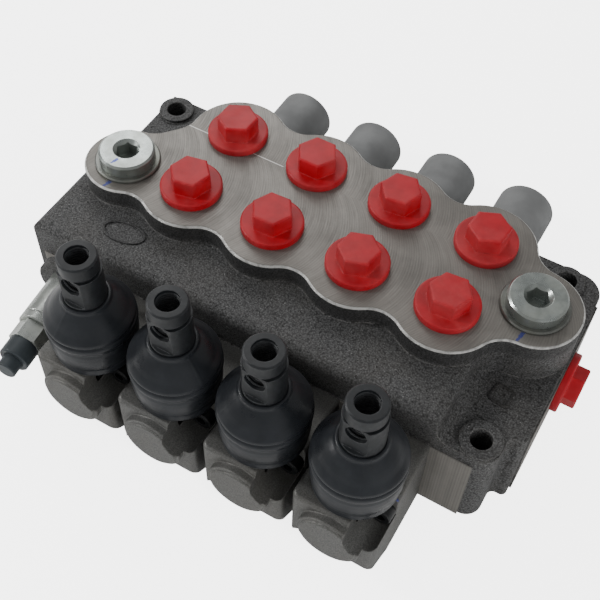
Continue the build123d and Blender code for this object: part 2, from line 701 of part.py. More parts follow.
def spool(x):
    """Spool with three necks, a driving pocket in front and a tapped tail."""
    edge = LAND_CHAMFER
    neck_in = PUMP_Y + PUMP_W / 2 + LAP
    neck_out = TANK_Y - GROOVE_W / 2 - LAP
    centre = GROOVE_W / 2 + CENTRE_LAP
    profile = [
        (0, SPOOL_FRONT_Y),
        (TONGUE_R - edge, SPOOL_FRONT_Y),
        (TONGUE_R, SPOOL_FRONT_Y + edge),
        (TONGUE_R, TONGUE_START_Y),
        (SPOOL_R, TONGUE_START_Y + SPOOL_R - TONGUE_R),
    ]
    for y0, y1 in ((-neck_out, -neck_in), (-centre, centre), (neck_in, neck_out)):
        profile += [(SPOOL_R, y0), (NECK_R, y0), (NECK_R, y1), (SPOOL_R, y1)]
    profile += [(SPOOL_R, BACK_Y - edge), (SPOOL_R - edge, BACK_Y), (0, BACK_Y)]
    rod = turned_y(profile, x, SPOOL_Z)
    rod -= block(
        x - TONGUE_R, x + TONGUE_R, SPOOL_FRONT_Y, TONGUE_START_Y, SPOOL_Z + TONGUE_FLAT, SPOOL_Z + TONGUE_R
    )
    half_x = BALL_R + GAP
    half_y = BALL_R + BALL_GAP
    rod -= block(
        x - half_x, x + half_x, LEVER_Y - half_y, LEVER_Y + half_y,
        SPOOL_Z - BALL_R - BALL_RISE, SPOOL_Z + TONGUE_R,
    )
    return rod - along_y(TAIL_THREAD_R + FIT, BACK_Y - TAIL_THREAD_L, BACK_Y, x, SPOOL_Z)


def tail_screw(x):
    """Shouldered screw in the back of the spool."""
    head_y = BACK_Y + TAIL_STEM_L
    screw = along_y(TAIL_THREAD_R, BACK_Y - TAIL_THREAD_L, BACK_Y, x, SPOOL_Z)
    screw += along_y(TAIL_STEM_R, BACK_Y, head_y, x, SPOOL_Z)
    screw += along_y(TAIL_HEAD_R, head_y, head_y + TAIL_HEAD_T, x, SPOOL_Z)
    plane = Plane((x, head_y + TAIL_HEAD_T, SPOOL_Z), x_dir=(1, 0, 0), z_dir=(0, -1, 0))
    return screw - extrude(plane * hexagon(M5_HEX), M5_HEX_DEPTH)


def spring_cup(open_y, way, x):
    """Flanged cup round the tail screw, its flange towards the spring's end."""
    inner = TAIL_STEM_R + GAP
    tube = COIL_R - COIL_WIRE - GAP
    profile = (
        (inner, open_y),
        (CUP_R, open_y),
        (CUP_R, open_y + way * CUP_T),
        (tube, open_y + way * CUP_T),
        (tube, open_y + way * (CUP_T + CUP_LIP)),
        (inner, open_y + way * (CUP_T + CUP_LIP)),
    )
    return turned_y(profile, x, SPOOL_Z)


def centring_pack(x):
    """Centring coil between its two cups."""
    front_y = BACK_Y + GAP
    back_y = BACK_Y + TAIL_STEM_L - GAP
    length = back_y - front_y - 2 * CUP_T - 2 * COIL_WIRE
    wire = coil(COIL_R, COIL_WIRE, length, COIL_TURNS)
    wire = Pos(x, front_y + CUP_T + COIL_WIRE, SPOOL_Z) * Rot(-90, 0, 0) * wire
    return [spring_cup(front_y, 1, x), spring_cup(back_y, -1, x), wire]


def end_cap(x):
    """Closed cap over the spool's back end, with a two-screw flange."""
    ears = Pos(EAR_OFF, EAR_OFF) * Circle(EAR_R) + Pos(-EAR_OFF, -EAR_OFF) * Circle(EAR_R)
    bar = Rot(0, 0, 45) * Rectangle(EAR_OFF * 2 * 2 ** 0.5, 2 * EAR_R)
    plane = Plane((x, BACK_Y, SPOOL_Z), x_dir=(-1, 0, 0), z_dir=(0, 1, 0))
    cap = extrude(plane * (ears + bar + Circle(CAP_R + BOSS_INSET)), EAR_T)
    cup = along_y(CAP_R, BACK_Y, CAP_END_Y, x, SPOOL_Z)
    cap += fillet(cup.edges().group_by(Axis.Y)[-1], CAP_ROUND)
    cap -= along_y(CAP_R - CAP_WALL, BACK_Y, CAP_END_Y - CAP_WALL, x, SPOOL_Z)
    for side in (-1, 1):
        z = SPOOL_Z + side * EAR_OFF
        cap -= along_y(M5_R + SCREW_GAP, BACK_Y, BACK_Y + EAR_T, x - side * EAR_OFF, z)
    return cap


def seals():
    """Two spool seals per bore."""
    rings = []
    for x in SECTION_XS:
        for y0 in (FRONT_Y, BACK_Y - SEAL_DEPTH):
            ring = along_y(SEAL_R, y0, y0 + SEAL_DEPTH, x, SPOOL_Z)
            rings.append(ring - along_y(SPOOL_R + SPOOL_FIT, y0, y0 + SEAL_DEPTH, x, SPOOL_Z))
    return rings


def relief_sleeve():
    """Zinc-plated cartridge sleeve screwed into the front boss."""
    seat_y = FRONT_Y - RELIEF_BOSS_T
    ring = GAP + SPOOL_FIT
    profile = (
        (SLEEVE_BORE_R, SLEEVE_IN_Y),
        (SLEEVE_THREAD_R, SLEEVE_IN_Y),
        (SLEEVE_THREAD_R, seat_y),
        (SLEEVE_R, seat_y),
        (SLEEVE_R, SLEEVE_RING_Y + SLEEVE_RING_W),
        (SLEEVE_R - ring, SLEEVE_RING_Y + SLEEVE_RING_W),
        (SLEEVE_R - ring, SLEEVE_RING_Y),
        (SLEEVE_R, SLEEVE_RING_Y),
        (SLEEVE_R, SLEEVE_OUT_Y + LAND_CHAMFER),
        (SLEEVE_R - LAND_CHAMFER, SLEEVE_OUT_Y),
        (ADJUST_R + FIT, SLEEVE_OUT_Y),
        (ADJUST_R + FIT, SLEEVE_RING_Y + ADJUST_SEAT_T),
        (SLEEVE_BORE_R, SLEEVE_RING_Y + ADJUST_SEAT_T),
    )
    return relief_turned(turned_y(profile))


def relief_poppet():
    """Poppet resting on the seat, guided by the sleeve's bore."""
    body_y = RELIEF_SEAT_Y - POPPET_NOSE_L + FIT
    guide_r = SLEEVE_BORE_R - FIT
    tip_y = RELIEF_SEAT_Y + POPPET_TIP_R / 2
    profile = (
        (0, tip_y),
        (POPPET_TIP_R, tip_y),
        (guide_r - SPOOL_FIT, body_y),
        (guide_r, body_y - SPOOL_FIT),
        (guide_r, body_y - POPPET_L),
        (RELIEF_COIL_R - 2 * RELIEF_WIRE, body_y - POPPET_L),
        (RELIEF_COIL_R - 2 * RELIEF_WIRE, body_y - POPPET_L - CUP_LIP),
        (0, body_y - POPPET_L - CUP_LIP),
    )
    return relief_turned(turned_y(profile))


def relief_spring():
    """Relief spring between the poppet and the adjusting screw."""
    front_y = RELIEF_SEAT_Y - POPPET_NOSE_L - POPPET_L - RELIEF_WIRE - GAP
    back_y = SLEEVE_RING_Y + 2 * ADJUST_SEAT_T + GAP + RELIEF_WIRE
    wire = coil(RELIEF_COIL_R, RELIEF_WIRE, front_y - back_y, COIL_TURNS)
    return relief_turned(Pos(0, front_y, 0) * Rot(90, 0, 0) * wire)


def relief_adjuster():
    """Adjusting screw through the lock nut, with its spring seat inside."""
    seat_y = SLEEVE_RING_Y + ADJUST_SEAT_T + GAP
    profile = (
        (0, seat_y + ADJUST_SEAT_T - GAP),
        (ADJUST_SEAT_R, seat_y + ADJUST_SEAT_T - GAP),
        (ADJUST_SEAT_R, seat_y),
        (ADJUST_R, seat_y),
        (ADJUST_R, ADJUST_END_Y + LAND_CHAMFER),
        (ADJUST_R - LAND_CHAMFER, ADJUST_END_Y),
        (0, ADJUST_END_Y),
    )
    plane = Plane((0, ADJUST_END_Y, 0), x_dir=(1, 0, 0), z_dir=(0, 1, 0))
    return relief_turned(turned_y(profile) - extrude(plane * hexagon(M5_HEX), M5_HEX_DEPTH))


def relief_lock_nut():
    """Hex nut that locks the adjusting screw."""
    back_y = SLEEVE_OUT_Y - NUT_T
    plane = Plane((0, back_y, 0), x_dir=(1, 0, 0), z_dir=(0, 1, 0))
    nut = extrude(plane * hexagon(NUT_AF, NUT_TURN), NUT_T)
    edge_r = NUT_AF / 2 + LAND_CHAMFER
    crown = turned_y(
        (
            (0, SLEEVE_OUT_Y),
            (edge_r, SLEEVE_OUT_Y),
            (edge_r + 2 * LAND_CHAMFER, SLEEVE_OUT_Y - LAND_CHAMFER),
            (edge_r + 2 * LAND_CHAMFER, back_y + LAND_CHAMFER),
            (edge_r, back_y),
            (0, back_y),
        )
    )
    return relief_turned((nut & crown) - along_y(ADJUST_R + FIT, back_y, SLEEVE_OUT_Y))


def relief_cap():
    """Push-on plastic cap over the adjusting screw."""
    mouth_y = SLEEVE_OUT_Y - NUT_T
    end_y = mouth_y - COVER_L
    profile = (
        (ADJUST_R + GAP, mouth_y),
        (COVER_R, mouth_y),
        (COVER_R, end_y + LAND_CHAMFER),
        (COVER_R - LAND_CHAMFER, end_y),
        (COVER_TIP_R, end_y),
        (COVER_TIP_R, end_y - COVER_TIP_L + LAND_CHAMFER),
        (COVER_TIP_R - LAND_CHAMFER, end_y - COVER_TIP_L),
        (0, end_y - COVER_TIP_L),
        (0, end_y),
        (ADJUST_R + GAP, end_y),
    )
    return relief_turned(turned_y(profile))


def check_poppet():
    """Load check poppet on its seat under the right plug."""
    x, y = RIGHT_BOSS
    guide_r = CHECK_BORE_R - FIT
    seat_z = CHECK_SEAT_Z + FIT
    points = (
        (0, seat_z - CHECK_NOSE_H / 2),
        (CHECK_SEAT_R - CHECK_NOSE_H / 2 - FIT, seat_z - CHECK_NOSE_H / 2),
        (CHECK_SEAT_R - FIT, seat_z),
        (guide_r, seat_z + CHECK_NOSE_H),
        (guide_r, seat_z + CHECK_H),
        (CHECK_COIL_R + CHECK_WIRE + GAP, seat_z + CHECK_H),
        (CHECK_COIL_R + CHECK_WIRE + GAP, seat_z + CHECK_NOSE_H + CHECK_WIRE),
        (0, seat_z + CHECK_NOSE_H + CHECK_WIRE),
    )
    return ring_z(points, x, y)


def check_spring():
    """Light spring between the check poppet and the plug."""
    x, y = RIGHT_BOSS
    low_z = CHECK_SEAT_Z + CHECK_NOSE_H + 2 * CHECK_WIRE + GAP
    high_z = BODY_H - PORT_DEPTH - CHECK_WIRE - GAP
    return Pos(x, y, low_z) * coil(CHECK_COIL_R, CHECK_WIRE, high_z - low_z, COIL_TURNS)


def all_parts():
    """Every node's shape by name."""
    parts = {"valve_body": valve_body()}
    for i, x in enumerate(SECTION_XS):
        n = i + 1
        parts[f"port_plug_a_{n}"] = Pos(x, -ROW_Y, BODY_H) * port_plug(PLUG_TURNS_A[i])
        parts[f"port_plug_b_{n}"] = Pos(x, ROW_Y, BODY_H) * port_plug(PLUG_TURNS_B[i])
        parts[f"lever_box_{n}"] = lever_box(x)
        parts[f"boot_{n}"] = boot(x)
        parts[f"lever_{n}"] = lever(x)
        parts[f"lever_pin_{n}"] = lever_pin(x)
        parts[f"spool_{n}"] = spool(x)
        parts[f"tail_screw_{n}"] = tail_screw(x)
        parts[f"spool_cap_{n}"] = end_cap(x)
        parts[f"centring_spring_pack_{n}"] = centring_pack(x)
    side = port_plug(END_PLUG_TURN, END_PLUG_HEX_H)
    parts["inlet_port_plug"] = Pos(RIGHT_X + END_PAD_T, 0, END_PORT_Z) * Rot(0, 90, 0) * side
    parts["tank_port_plug"] = Pos(LEFT_X, 0, END_PORT_Z) * Rot(0, -90, 0) * side
    parts["top_plug_left"] = steel_plug(LEFT_BOSS)
    parts["top_plug_right"] = steel_plug(RIGHT_BOSS)
    parts["top_plug_left_washer"] = washer(LEFT_BOSS)
    parts["top_plug_right_washer"] = washer(RIGHT_BOSS)
    parts["box_screws"] = box_screws()
    parts["flange_screws"] = flange_screws()
    parts["spool_seals"] = seals()
    parts["relief_sleeve"] = relief_sleeve()
    parts["relief_poppet"] = relief_poppet()
    parts["relief_spring"] = relief_spring()
    parts["relief_adjuster"] = relief_adjuster()
    parts["relief_lock_nut"] = relief_lock_nut()
    parts["relief_cap"] = relief_cap()
    parts["check_poppet"] = check_poppet()
    parts["check_spring"] = check_spring()
    return parts


def as_shape(piece):
    """One solid, or a compound of the solids in a list."""
    return Compound(children=piece) if isinstance(piece, list) else piece


if __name__ == "__main__":
    os.makedirs("parts", exist_ok=True)
    for name, piece in all_parts().items():
        export_step(as_shape(piece), f"parts/{name}.step")
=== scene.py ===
"""Visual model of a four-section monoblock directional control valve.

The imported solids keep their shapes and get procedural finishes. Rubber boots, thread crests
and the blank cast marks are modelled here. Everything is in metres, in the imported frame.
"""

import logging
import math
from dataclasses import dataclass, field
from enum import Enum
from functools import cache
from typing import Iterable, Sequence, Union

import bmesh
import bpy
from mathutils import Matrix, Vector

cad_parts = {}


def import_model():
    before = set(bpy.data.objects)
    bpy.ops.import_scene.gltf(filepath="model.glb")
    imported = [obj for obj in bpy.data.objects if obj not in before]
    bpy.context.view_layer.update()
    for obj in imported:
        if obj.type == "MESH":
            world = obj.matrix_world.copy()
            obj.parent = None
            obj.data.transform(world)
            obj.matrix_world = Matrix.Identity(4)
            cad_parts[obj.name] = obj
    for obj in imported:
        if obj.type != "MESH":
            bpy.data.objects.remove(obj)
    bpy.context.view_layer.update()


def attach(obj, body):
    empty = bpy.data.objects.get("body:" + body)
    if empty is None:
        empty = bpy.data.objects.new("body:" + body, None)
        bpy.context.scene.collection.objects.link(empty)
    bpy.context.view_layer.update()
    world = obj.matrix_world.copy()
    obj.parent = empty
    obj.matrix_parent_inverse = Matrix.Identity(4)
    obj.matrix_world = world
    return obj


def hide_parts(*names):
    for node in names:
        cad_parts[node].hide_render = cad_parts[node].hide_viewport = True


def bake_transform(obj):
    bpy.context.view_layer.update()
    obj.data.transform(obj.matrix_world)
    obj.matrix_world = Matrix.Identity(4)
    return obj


Point = tuple[float, float, float]
Colour = tuple[float, float, float]
Node = bpy.types.Node
Socket = bpy.types.NodeSocket
Tree = bpy.types.NodeTree
Value = Union[float, Sequence[float], Socket]

LOG = logging.getLogger("valve")
MM = 0.001
WHITE = (1.0, 1.0, 1.0, 1.0)

# Driving places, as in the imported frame
SECTIONS = 4
PITCH = 38.0
SECTION_XS = tuple((i - (SECTIONS - 1) / 2) * PITCH * MM for i in range(SECTIONS))
SEAM_TURNS = (-100.0, -20.0, -130.0, -60.0)
LEVER_Y = -86.0 * MM
PLATE_Z = 64.0 * MM
FRONT_Y = -60.5 * MM
BACK_Y = 41.0 * MM
PAD_X = 105.1 * MM

# Reach of a patch that isn't bounded, distance of merged points, slack of a height
EVERYWHERE = 0.2
MERGE_DIST = 1e-7
HEIGHT_SLACK = 1e-4


def srgb(red: int, green: int, blue: int) -> Colour:
    """Linear colour of an 8-bit display colour.

    Args:
        red: the display colour's red, up to 255.
        green: its green.
        blue: its blue.

    Returns:
        The colour as Blender's nodes take it.
    """
    def linear(level: int) -> float:
        """One channel made linear."""
        share = level / 255
        return share / 12.92 if share <= 0.04045 else ((share + 0.055) / 1.055) ** 2.4
    return (linear(red), linear(green), linear(blue))


class Graph:
    """Adds nodes to one node tree and wires them."""

    def __init__(self, tree: Tree) -> None:
        """Hold the tree.

        Args:
            tree: the tree that nodes are added to.
        """
        self.tree = tree

    def add(self, kind: str, **settings: object) -> Node:
        """Add a node.

        Args:
            kind: its type name without the ShaderNode prefix.
            settings: properties to set on it.

        Returns:
            The new node.
        """
        node = self.tree.nodes.new("ShaderNode" + kind)
        for name, value in settings.items():
            setattr(node, name, value)
        return node

    def feed(self, socket: Socket, value: Value) -> None:
        """Set a socket from a constant, or link it to another socket.

        Args:
            socket: the input that is fed.
            value: what it gets.
        """
        if isinstance(value, Socket):
            self.tree.links.new(value, socket)
        else:
            socket.default_value = value

    def maths(self, operation: str, first: Value, second: Value = 0.0, clamp: bool = False) -> Socket:
        """Work out a Math node's operation.

        Args:
            operation: its name.
            first: the first value.
            second: the second value.
            clamp: whether the result is kept between zero and one.

        Returns:
            The result.
        """
        node = self.add("Math", operation=operation, use_clamp=clamp)
        self.feed(node.inputs[0], first)
        self.feed(node.inputs[1], second)
        return node.outputs[0]

    def plus(self, first: Value, second: Value) -> Socket:
        """Sum of two values."""
        return self.maths("ADD", first, second)

    def minus(self, first: Value, second: Value) -> Socket:
        """The first value less the second."""
        return self.maths("SUBTRACT", first, second)

    def times(self, first: Value, second: Value) -> Socket:
        """Product of two values."""
        return self.maths("MULTIPLY", first, second)

    def vector(self, operation: str, first: Value, second: Value = (0.0, 0.0, 0.0)) -> Socket:
        """Work out a Vector Math node's operation.

        Args:
            operation: its name.
            first: the first vector.
            second: the second vector.

        Returns:
            The result, a value for a length or a dot product.
        """
        node = self.add("VectorMath", operation=operation)
        self.feed(node.inputs[0], first)
        self.feed(node.inputs[1], second)
        return node.outputs["Value"] if operation in ("LENGTH", "DOT_PRODUCT") else node.outputs["Vector"]

    def split(self, vector: Value) -> tuple[Socket, Socket, Socket]:
        """Part a vector.

        Args:
            vector: the vector.

        Returns:
            Its X, Y and Z.
        """
        node = self.add("SeparateXYZ")
        self.feed(node.inputs[0], vector)
        return node.outputs["X"], node.outputs["Y"], node.outputs["Z"]

    def ramp(
        self, value: Value, low: float, high: float, to: tuple[float, float] = (0.0, 1.0)
    ) -> Socket:
        """Smooth step of a value.

        Args:
            value: what is ramped.
            low: where the step starts.
            high: where it ends.
            to: what comes out at the two ends.

        Returns:
            The stepped value.
        """
        node = self.add("MapRange", interpolation_type="SMOOTHSTEP")
        self.feed(node.inputs["Value"], value)
        limits = {"From Min": low, "From Max": high, "To Min": to[0], "To Max": to[1]}
        for name, number in limits.items():
            self.feed(node.inputs[name], number)
        return node.outputs["Result"]

    def noise(self, vector: Value, scale: Value, detail: float = 2.0, rough: float = 0.5) -> Socket:
        """Read a Noise texture.

        Args:
            vector: where it is read.
            scale: its scale.
            detail: how many finer layers it has.
            rough: how strong those layers are.

        Returns:
            Its value.
        """
        node = self.add("TexNoise")
        settings = {"Vector": vector, "Scale": scale, "Detail": detail, "Roughness": rough}
        for name, value in settings.items():
            self.feed(node.inputs[name], value)
        return node.outputs[0]

    def mix(self, share: Value, first: Value, second: Value) -> Socket:
        """Mix two colours.

        Args:
            share: the share of the second.
            first: the first colour.
            second: the second colour.

        Returns:
            The mixed colour.
        """
        node = self.add("Mix", data_type="RGBA", blend_type="MIX", clamp_factor=True)
        self.feed(node.inputs[0], share)
        for socket, colour in ((node.inputs[6], first), (node.inputs[7], second)):
            self.feed(socket, (*colour, 1.0) if isinstance(colour, tuple) else colour)
        return node.outputs[2]

    def use(self, group: Tree, **inputs: Value) -> Node:
        """Place a node group.

        Args:
            group: the group.
            inputs: its inputs by name, with underscores for spaces.

        Returns:
            The group's node.
        """
        node = self.add("Group", node_tree=group)
        for name, value in inputs.items():
            self.feed(node.inputs[name.replace("_", " ")], value)
        return node


class Coat(Graph):
    """The graph of one material, with its shader and its object coordinates."""

    def __init__(self, material: bpy.types.Material) -> None:
        """Open a material's nodes.

        Args:
            material: the material.
        """
        material.use_nodes = True
        super().__init__(material.node_tree)
        self.shader = self.tree.nodes["Principled BSDF"]
        self.place = self.add("TexCoord").outputs["Object"]

    def put(self, name: str, value: Value) -> None:
        """Feed one of the shader's inputs."""
        self.feed(self.shader.inputs[name], value)


def open_group(
    name: str, inputs: Iterable[tuple[str, str, object]], outputs: Iterable[tuple[str, str]]
) -> tuple[Graph, Node, Node]:
    """Open a new node group with its sockets.

    Args:
        name: the group's name.
        inputs: name, socket kind and default of each input.
        outputs: name and socket kind of each output.

    Returns:
        The group's graph, its input node and its output node.
    """
    tree = bpy.data.node_groups.new(name, "ShaderNodeTree")
    for label, kind, default in inputs:
        socket = tree.interface.new_socket(label, in_out="INPUT", socket_type="NodeSocket" + kind)
        if default is not None:
            socket.default_value = default
    for label, kind in outputs:
        tree.interface.new_socket(label, in_out="OUTPUT", socket_type="NodeSocket" + kind)
    return Graph(tree), tree.nodes.new("NodeGroupInput"), tree.nodes.new("NodeGroupOutput")


class Effects:
    """Shared surface effects, each a node group that is built once."""

    @staticmethod
    @cache
    def cast_grain() -> Tree:
        """Sand-cast surface: lumps, grains and pits, as a height and a tone.

        Returns:
            A group that gives a height, a tone and a mask of glinting grains.
        """
        sockets = (("Vector", "Vector", None), ("Scale", "Float", 1500.0), ("Pits", "Float", 0.5))
        results = (("Height", "Float"), ("Tone", "Float"), ("Glint", "Float"))
        graph, inlet, outlet = open_group("cast_grain", sockets, results)
        place, scale = inlet.outputs["Vector"], inlet.outputs["Scale"]
        grain = graph.noise(place, scale, 3.0, 0.62)
        lumps = graph.noise(place, graph.times(scale, 0.13), 3.0, 0.5)
        cells = graph.add("TexVoronoi", feature="F1")
        graph.feed(cells.inputs["Vector"], place)
        graph.feed(cells.inputs["Scale"], graph.times(scale, 0.8))
        bumps = graph.minus(1.0, cells.outputs["Distance"])
        pits = graph.ramp(graph.noise(place, graph.times(scale, 0.45), 1.0), 0.66, 0.74)
        height = graph.plus(graph.times(grain, 0.8), graph.times(bumps, 0.5))
        height = graph.plus(height, graph.times(lumps, 1.4))
        height = graph.minus(height, graph.times(pits, inlet.outputs["Pits"]))
        graph.feed(outlet.inputs["Height"], height)
        tone = graph.plus(graph.times(grain, 0.65), graph.times(bumps, 0.35))
        graph.feed(outlet.inputs["Tone"], graph.minus(tone, graph.times(pits, 0.3)))
        sparks = graph.ramp(graph.noise(place, graph.times(scale, 0.9), 1.0, 0.5), 0.66, 0.76)
        fields = graph.ramp(graph.noise(place, graph.times(scale, 0.08), 2.0, 0.5), 0.4, 0.65)
        graph.feed(outlet.inputs["Glint"], graph.times(sparks, fields))
        return graph.tree

    @staticmethod
    @cache
    def soft_edge() -> Tree:
        """Rounded shading along sharp edges, with a mask there that stands for wear and for painted edge
        highlight.

        Returns:
            A group that gives the normal and the mask.
        """
        sockets = (("Radius", "Float", 0.0006), ("Vector", "Vector", None))
        graph, inlet, outlet = open_group("soft_edge", sockets, (("Normal", "Vector"), ("WearAndHighlight", "Float")))
        bevel = graph.add("Bevel", samples=6)
        graph.feed(bevel.inputs["Radius"], inlet.outputs["Radius"])
        flat = graph.add("NewGeometry")
        turn = graph.vector("DOT_PRODUCT", bevel.outputs["Normal"], flat.outputs["Normal"])
        edge_mask = graph.ramp(turn, 0.985, 0.86)
        broken = graph.ramp(graph.noise(inlet.outputs["Vector"], 420.0, 4.0, 0.7), 0.38, 0.62)
        graph.feed(outlet.inputs["Normal"], bevel.outputs["Normal"])
        # The edge mask stands for wear and for painted highlight along the edges.
        graph.feed(outlet.inputs["WearAndHighlight"], graph.times(edge_mask, broken))
        return graph.tree

    @staticmethod
    @cache
    def mill_marks() -> Tree:
        """Arcs that a face mill leaves as it travels along X, in a front and a back pass.

        Returns:
            A group that gives a height and a tone.
        """
        sockets = (
            ("Vector", "Vector", None), ("Spacing", "Float", 0.001), ("Radius", "Float", 0.036),
            ("Front Pass", "Float", -0.017), ("Back Pass", "Float", 0.012), ("Split", "Float", 0.0118),
        )
        graph, inlet, outlet = open_group("mill_marks", sockets, (("Height", "Float"), ("Tone", "Float")))
        place = inlet.outputs["Vector"]
        across, along, _ = graph.split(place)
        behind = graph.maths("GREATER_THAN", along, inlet.outputs["Split"])
        step = graph.minus(inlet.outputs["Back Pass"], inlet.outputs["Front Pass"])
        middle = graph.plus(inlet.outputs["Front Pass"], graph.times(behind, step))
        off = graph.minus(along, middle)
        share = graph.maths("ABSOLUTE", graph.maths("DIVIDE", off, inlet.outputs["Radius"]))
        share = graph.maths("MINIMUM", share, 0.99)
        bow = graph.maths("SQRT", graph.minus(1.0, graph.times(share, share)))
        reach = graph.times(bow, inlet.outputs["Radius"])
        run = graph.minus(across, reach)
        turns = graph.maths("DIVIDE", run, inlet.outputs["Spacing"])
        wave = graph.maths("SINE", graph.times(turns, 2 * math.pi))
        line = graph.add("CombineXYZ")
        graph.feed(line.inputs["X"], run)
        graph.feed(line.inputs["Y"], graph.times(off, 0.04))
        streaks = graph.noise(line.outputs[0], 1500.0, 4.0, 0.7)
        bands = graph.noise(line.outputs[0], 170.0, 2.0, 0.5)
        patches = graph.noise(place, 55.0, 4.0, 0.6)
        fine = graph.noise(place, 2600.0, 2.0, 0.6)
        height = graph.plus(graph.times(wave, 0.3), streaks)
        graph.feed(outlet.inputs["Height"], graph.plus(height, graph.times(fine, 0.4)))
        tone = graph.plus(graph.times(streaks, 0.42), graph.times(bands, 0.18))
        tone = graph.plus(tone, graph.times(wave, 0.03))
        tone = graph.plus(tone, graph.times(patches, 0.28))
        graph.feed(outlet.inputs["Tone"], graph.plus(tone, graph.times(fine, 0.12)))
        return graph.tree

    @staticmethod
    @cache
    def turned_rings() -> Tree:
        """Fine tool marks round the Z axis of the vector given.

        Returns:
            A group that gives a height.
        """
        sockets = (("Vector", "Vector", None),)
        graph, inlet, outlet = open_group("turned_rings", sockets, (("Height", "Float"),))
        away = graph.vector("LENGTH", graph.vector("MULTIPLY", inlet.outputs["Vector"], (1.0, 1.0, 0.0)))
        ring = graph.add("CombineXYZ")
        graph.feed(ring.inputs["X"], away)
        graph.feed(ring.inputs["Y"], graph.split(inlet.outputs["Vector"])[2])
        graph.feed(outlet.inputs["Height"], graph.noise(ring.outputs[0], 5200.0, 3.0, 0.7))
        return graph.tree

    @staticmethod
    @cache
    def smudges() -> Tree:
        """Handling marks and thin dust, as one soft mask.

        Returns:
            A group that gives a mask.
        """
        sockets = (("Vector", "Vector", None), ("Scale", "Float", 90.0))
        graph, inlet, outlet = open_group("smudges", sockets, (("Mask", "Float"),))
        place, scale = inlet.outputs["Vector"], inlet.outputs["Scale"]
        broad = graph.ramp(graph.noise(place, scale, 3.0, 0.55), 0.35, 0.7)
        fine = graph.noise(place, graph.times(scale, 9.0), 3.0, 0.6)
        graph.feed(outlet.inputs["Mask"], graph.times(broad, graph.ramp(fine, 0.2, 0.8, (0.6, 1.0))))
        return graph.tree

    @staticmethod
    @cache
    def zone() -> Tree:
        """Mask that is one inside a box and falls off over its softness.

        Returns:
            A group that gives a mask.
        """
        sockets = (
            ("Vector", "Vector", None), ("Centre", "Vector", None), ("Half", "Vector", None),
            ("Soft", "Float", 0.0002),
        )
        graph, inlet, outlet = open_group("zone", sockets, (("Mask", "Float"),))
        offset = graph.vector("SUBTRACT", inlet.outputs["Vector"], inlet.outputs["Centre"])
        over = graph.vector("SUBTRACT", graph.vector("ABSOLUTE", offset), inlet.outputs["Half"])
        across, along, up = graph.split(over)
        worst = graph.maths("MAXIMUM", graph.maths("MAXIMUM", across, along), up)
        share = graph.maths("DIVIDE", worst, inlet.outputs["Soft"])
        graph.feed(outlet.inputs["Mask"], graph.maths("SUBTRACT", 1.0, share, clamp=True))
        return graph.tree

    @staticmethod
    @cache
    def marker_stroke() -> Tree:
        """Dry felt-pen stroke along X of the vector given, about the origin.

        Returns:
            A group that gives a mask.
        """
        sockets = (("Vector", "Vector", None), ("Length", "Float", 0.005), ("Width", "Float", 0.0012))
        graph, inlet, outlet = open_group("marker_stroke", sockets, (("Mask", "Float"),))
        wobble = graph.minus(graph.noise(inlet.outputs["Vector"], 700.0, 2.0), 0.5)
        wander = graph.times(wobble, 0.0016)
        *flat_parts, up = graph.split(inlet.outputs["Vector"])
        shares = []
        for part, size in zip(flat_parts, ("Length", "Width")):
            away = graph.maths("ABSOLUTE", graph.plus(part, wander))
            shares.append(graph.maths("DIVIDE", away, graph.times(inlet.outputs[size], 0.5)))
        flat = graph.maths("LESS_THAN", graph.maths("ABSOLUTE", up), 0.0008)
        edge = graph.ramp(graph.maths("MAXIMUM", *shares), 1.0, 0.75)
        dry = graph.ramp(graph.noise(inlet.outputs["Vector"], 2200.0, 2.0, 0.6), 0.25, 0.55, (0.35, 1.0))
        graph.feed(outlet.inputs["Mask"], graph.times(graph.times(edge, dry), flat))
        return graph.tree


@dataclass(frozen=True)
class Stroke:
    """A marker stroke on a horizontal face.

    Attributes:
        centre: its middle.
        turn: its direction from +X, in degrees.
        length: its length.
        width: its width.
    """

    centre: Point
    turn: float
    length: float = 5.0 * MM
    width: float = 1.3 * MM


INK = srgb(58, 66, 128)


@dataclass(frozen=True)
class Patch:
    """A box-shaped patch of a solid, where its finish changes.

    Attributes:
        centre: its middle.
        half: half its size along each axis.
        soft: over how far its mask falls off.
    """

    centre: Point
    half: Point
    soft: float = 0.1 * MM

    def mask(self, coat: Coat) -> Socket:
        """Find where the patch is.

        Args:
            coat: the material's graph.

        Returns:
            A mask that is one on the patch.
        """
        zone = coat.use(
            Effects.zone(), Vector=coat.place, Centre=self.centre, Half=self.half, Soft=self.soft
        )
        return zone.outputs["Mask"]


def shades(colour: Colour, dark: float, light: float) -> tuple[Colour, Colour]:
    """A darker and a lighter shade of a colour.

    Args:
        colour: the colour.
        dark: the darker shade's share of it.
        light: the lighter shade's share of it.

    Returns:
        Both shades.
    """
    return tuple(dark * c for c in colour), tuple(min(1.0, light * c) for c in colour)


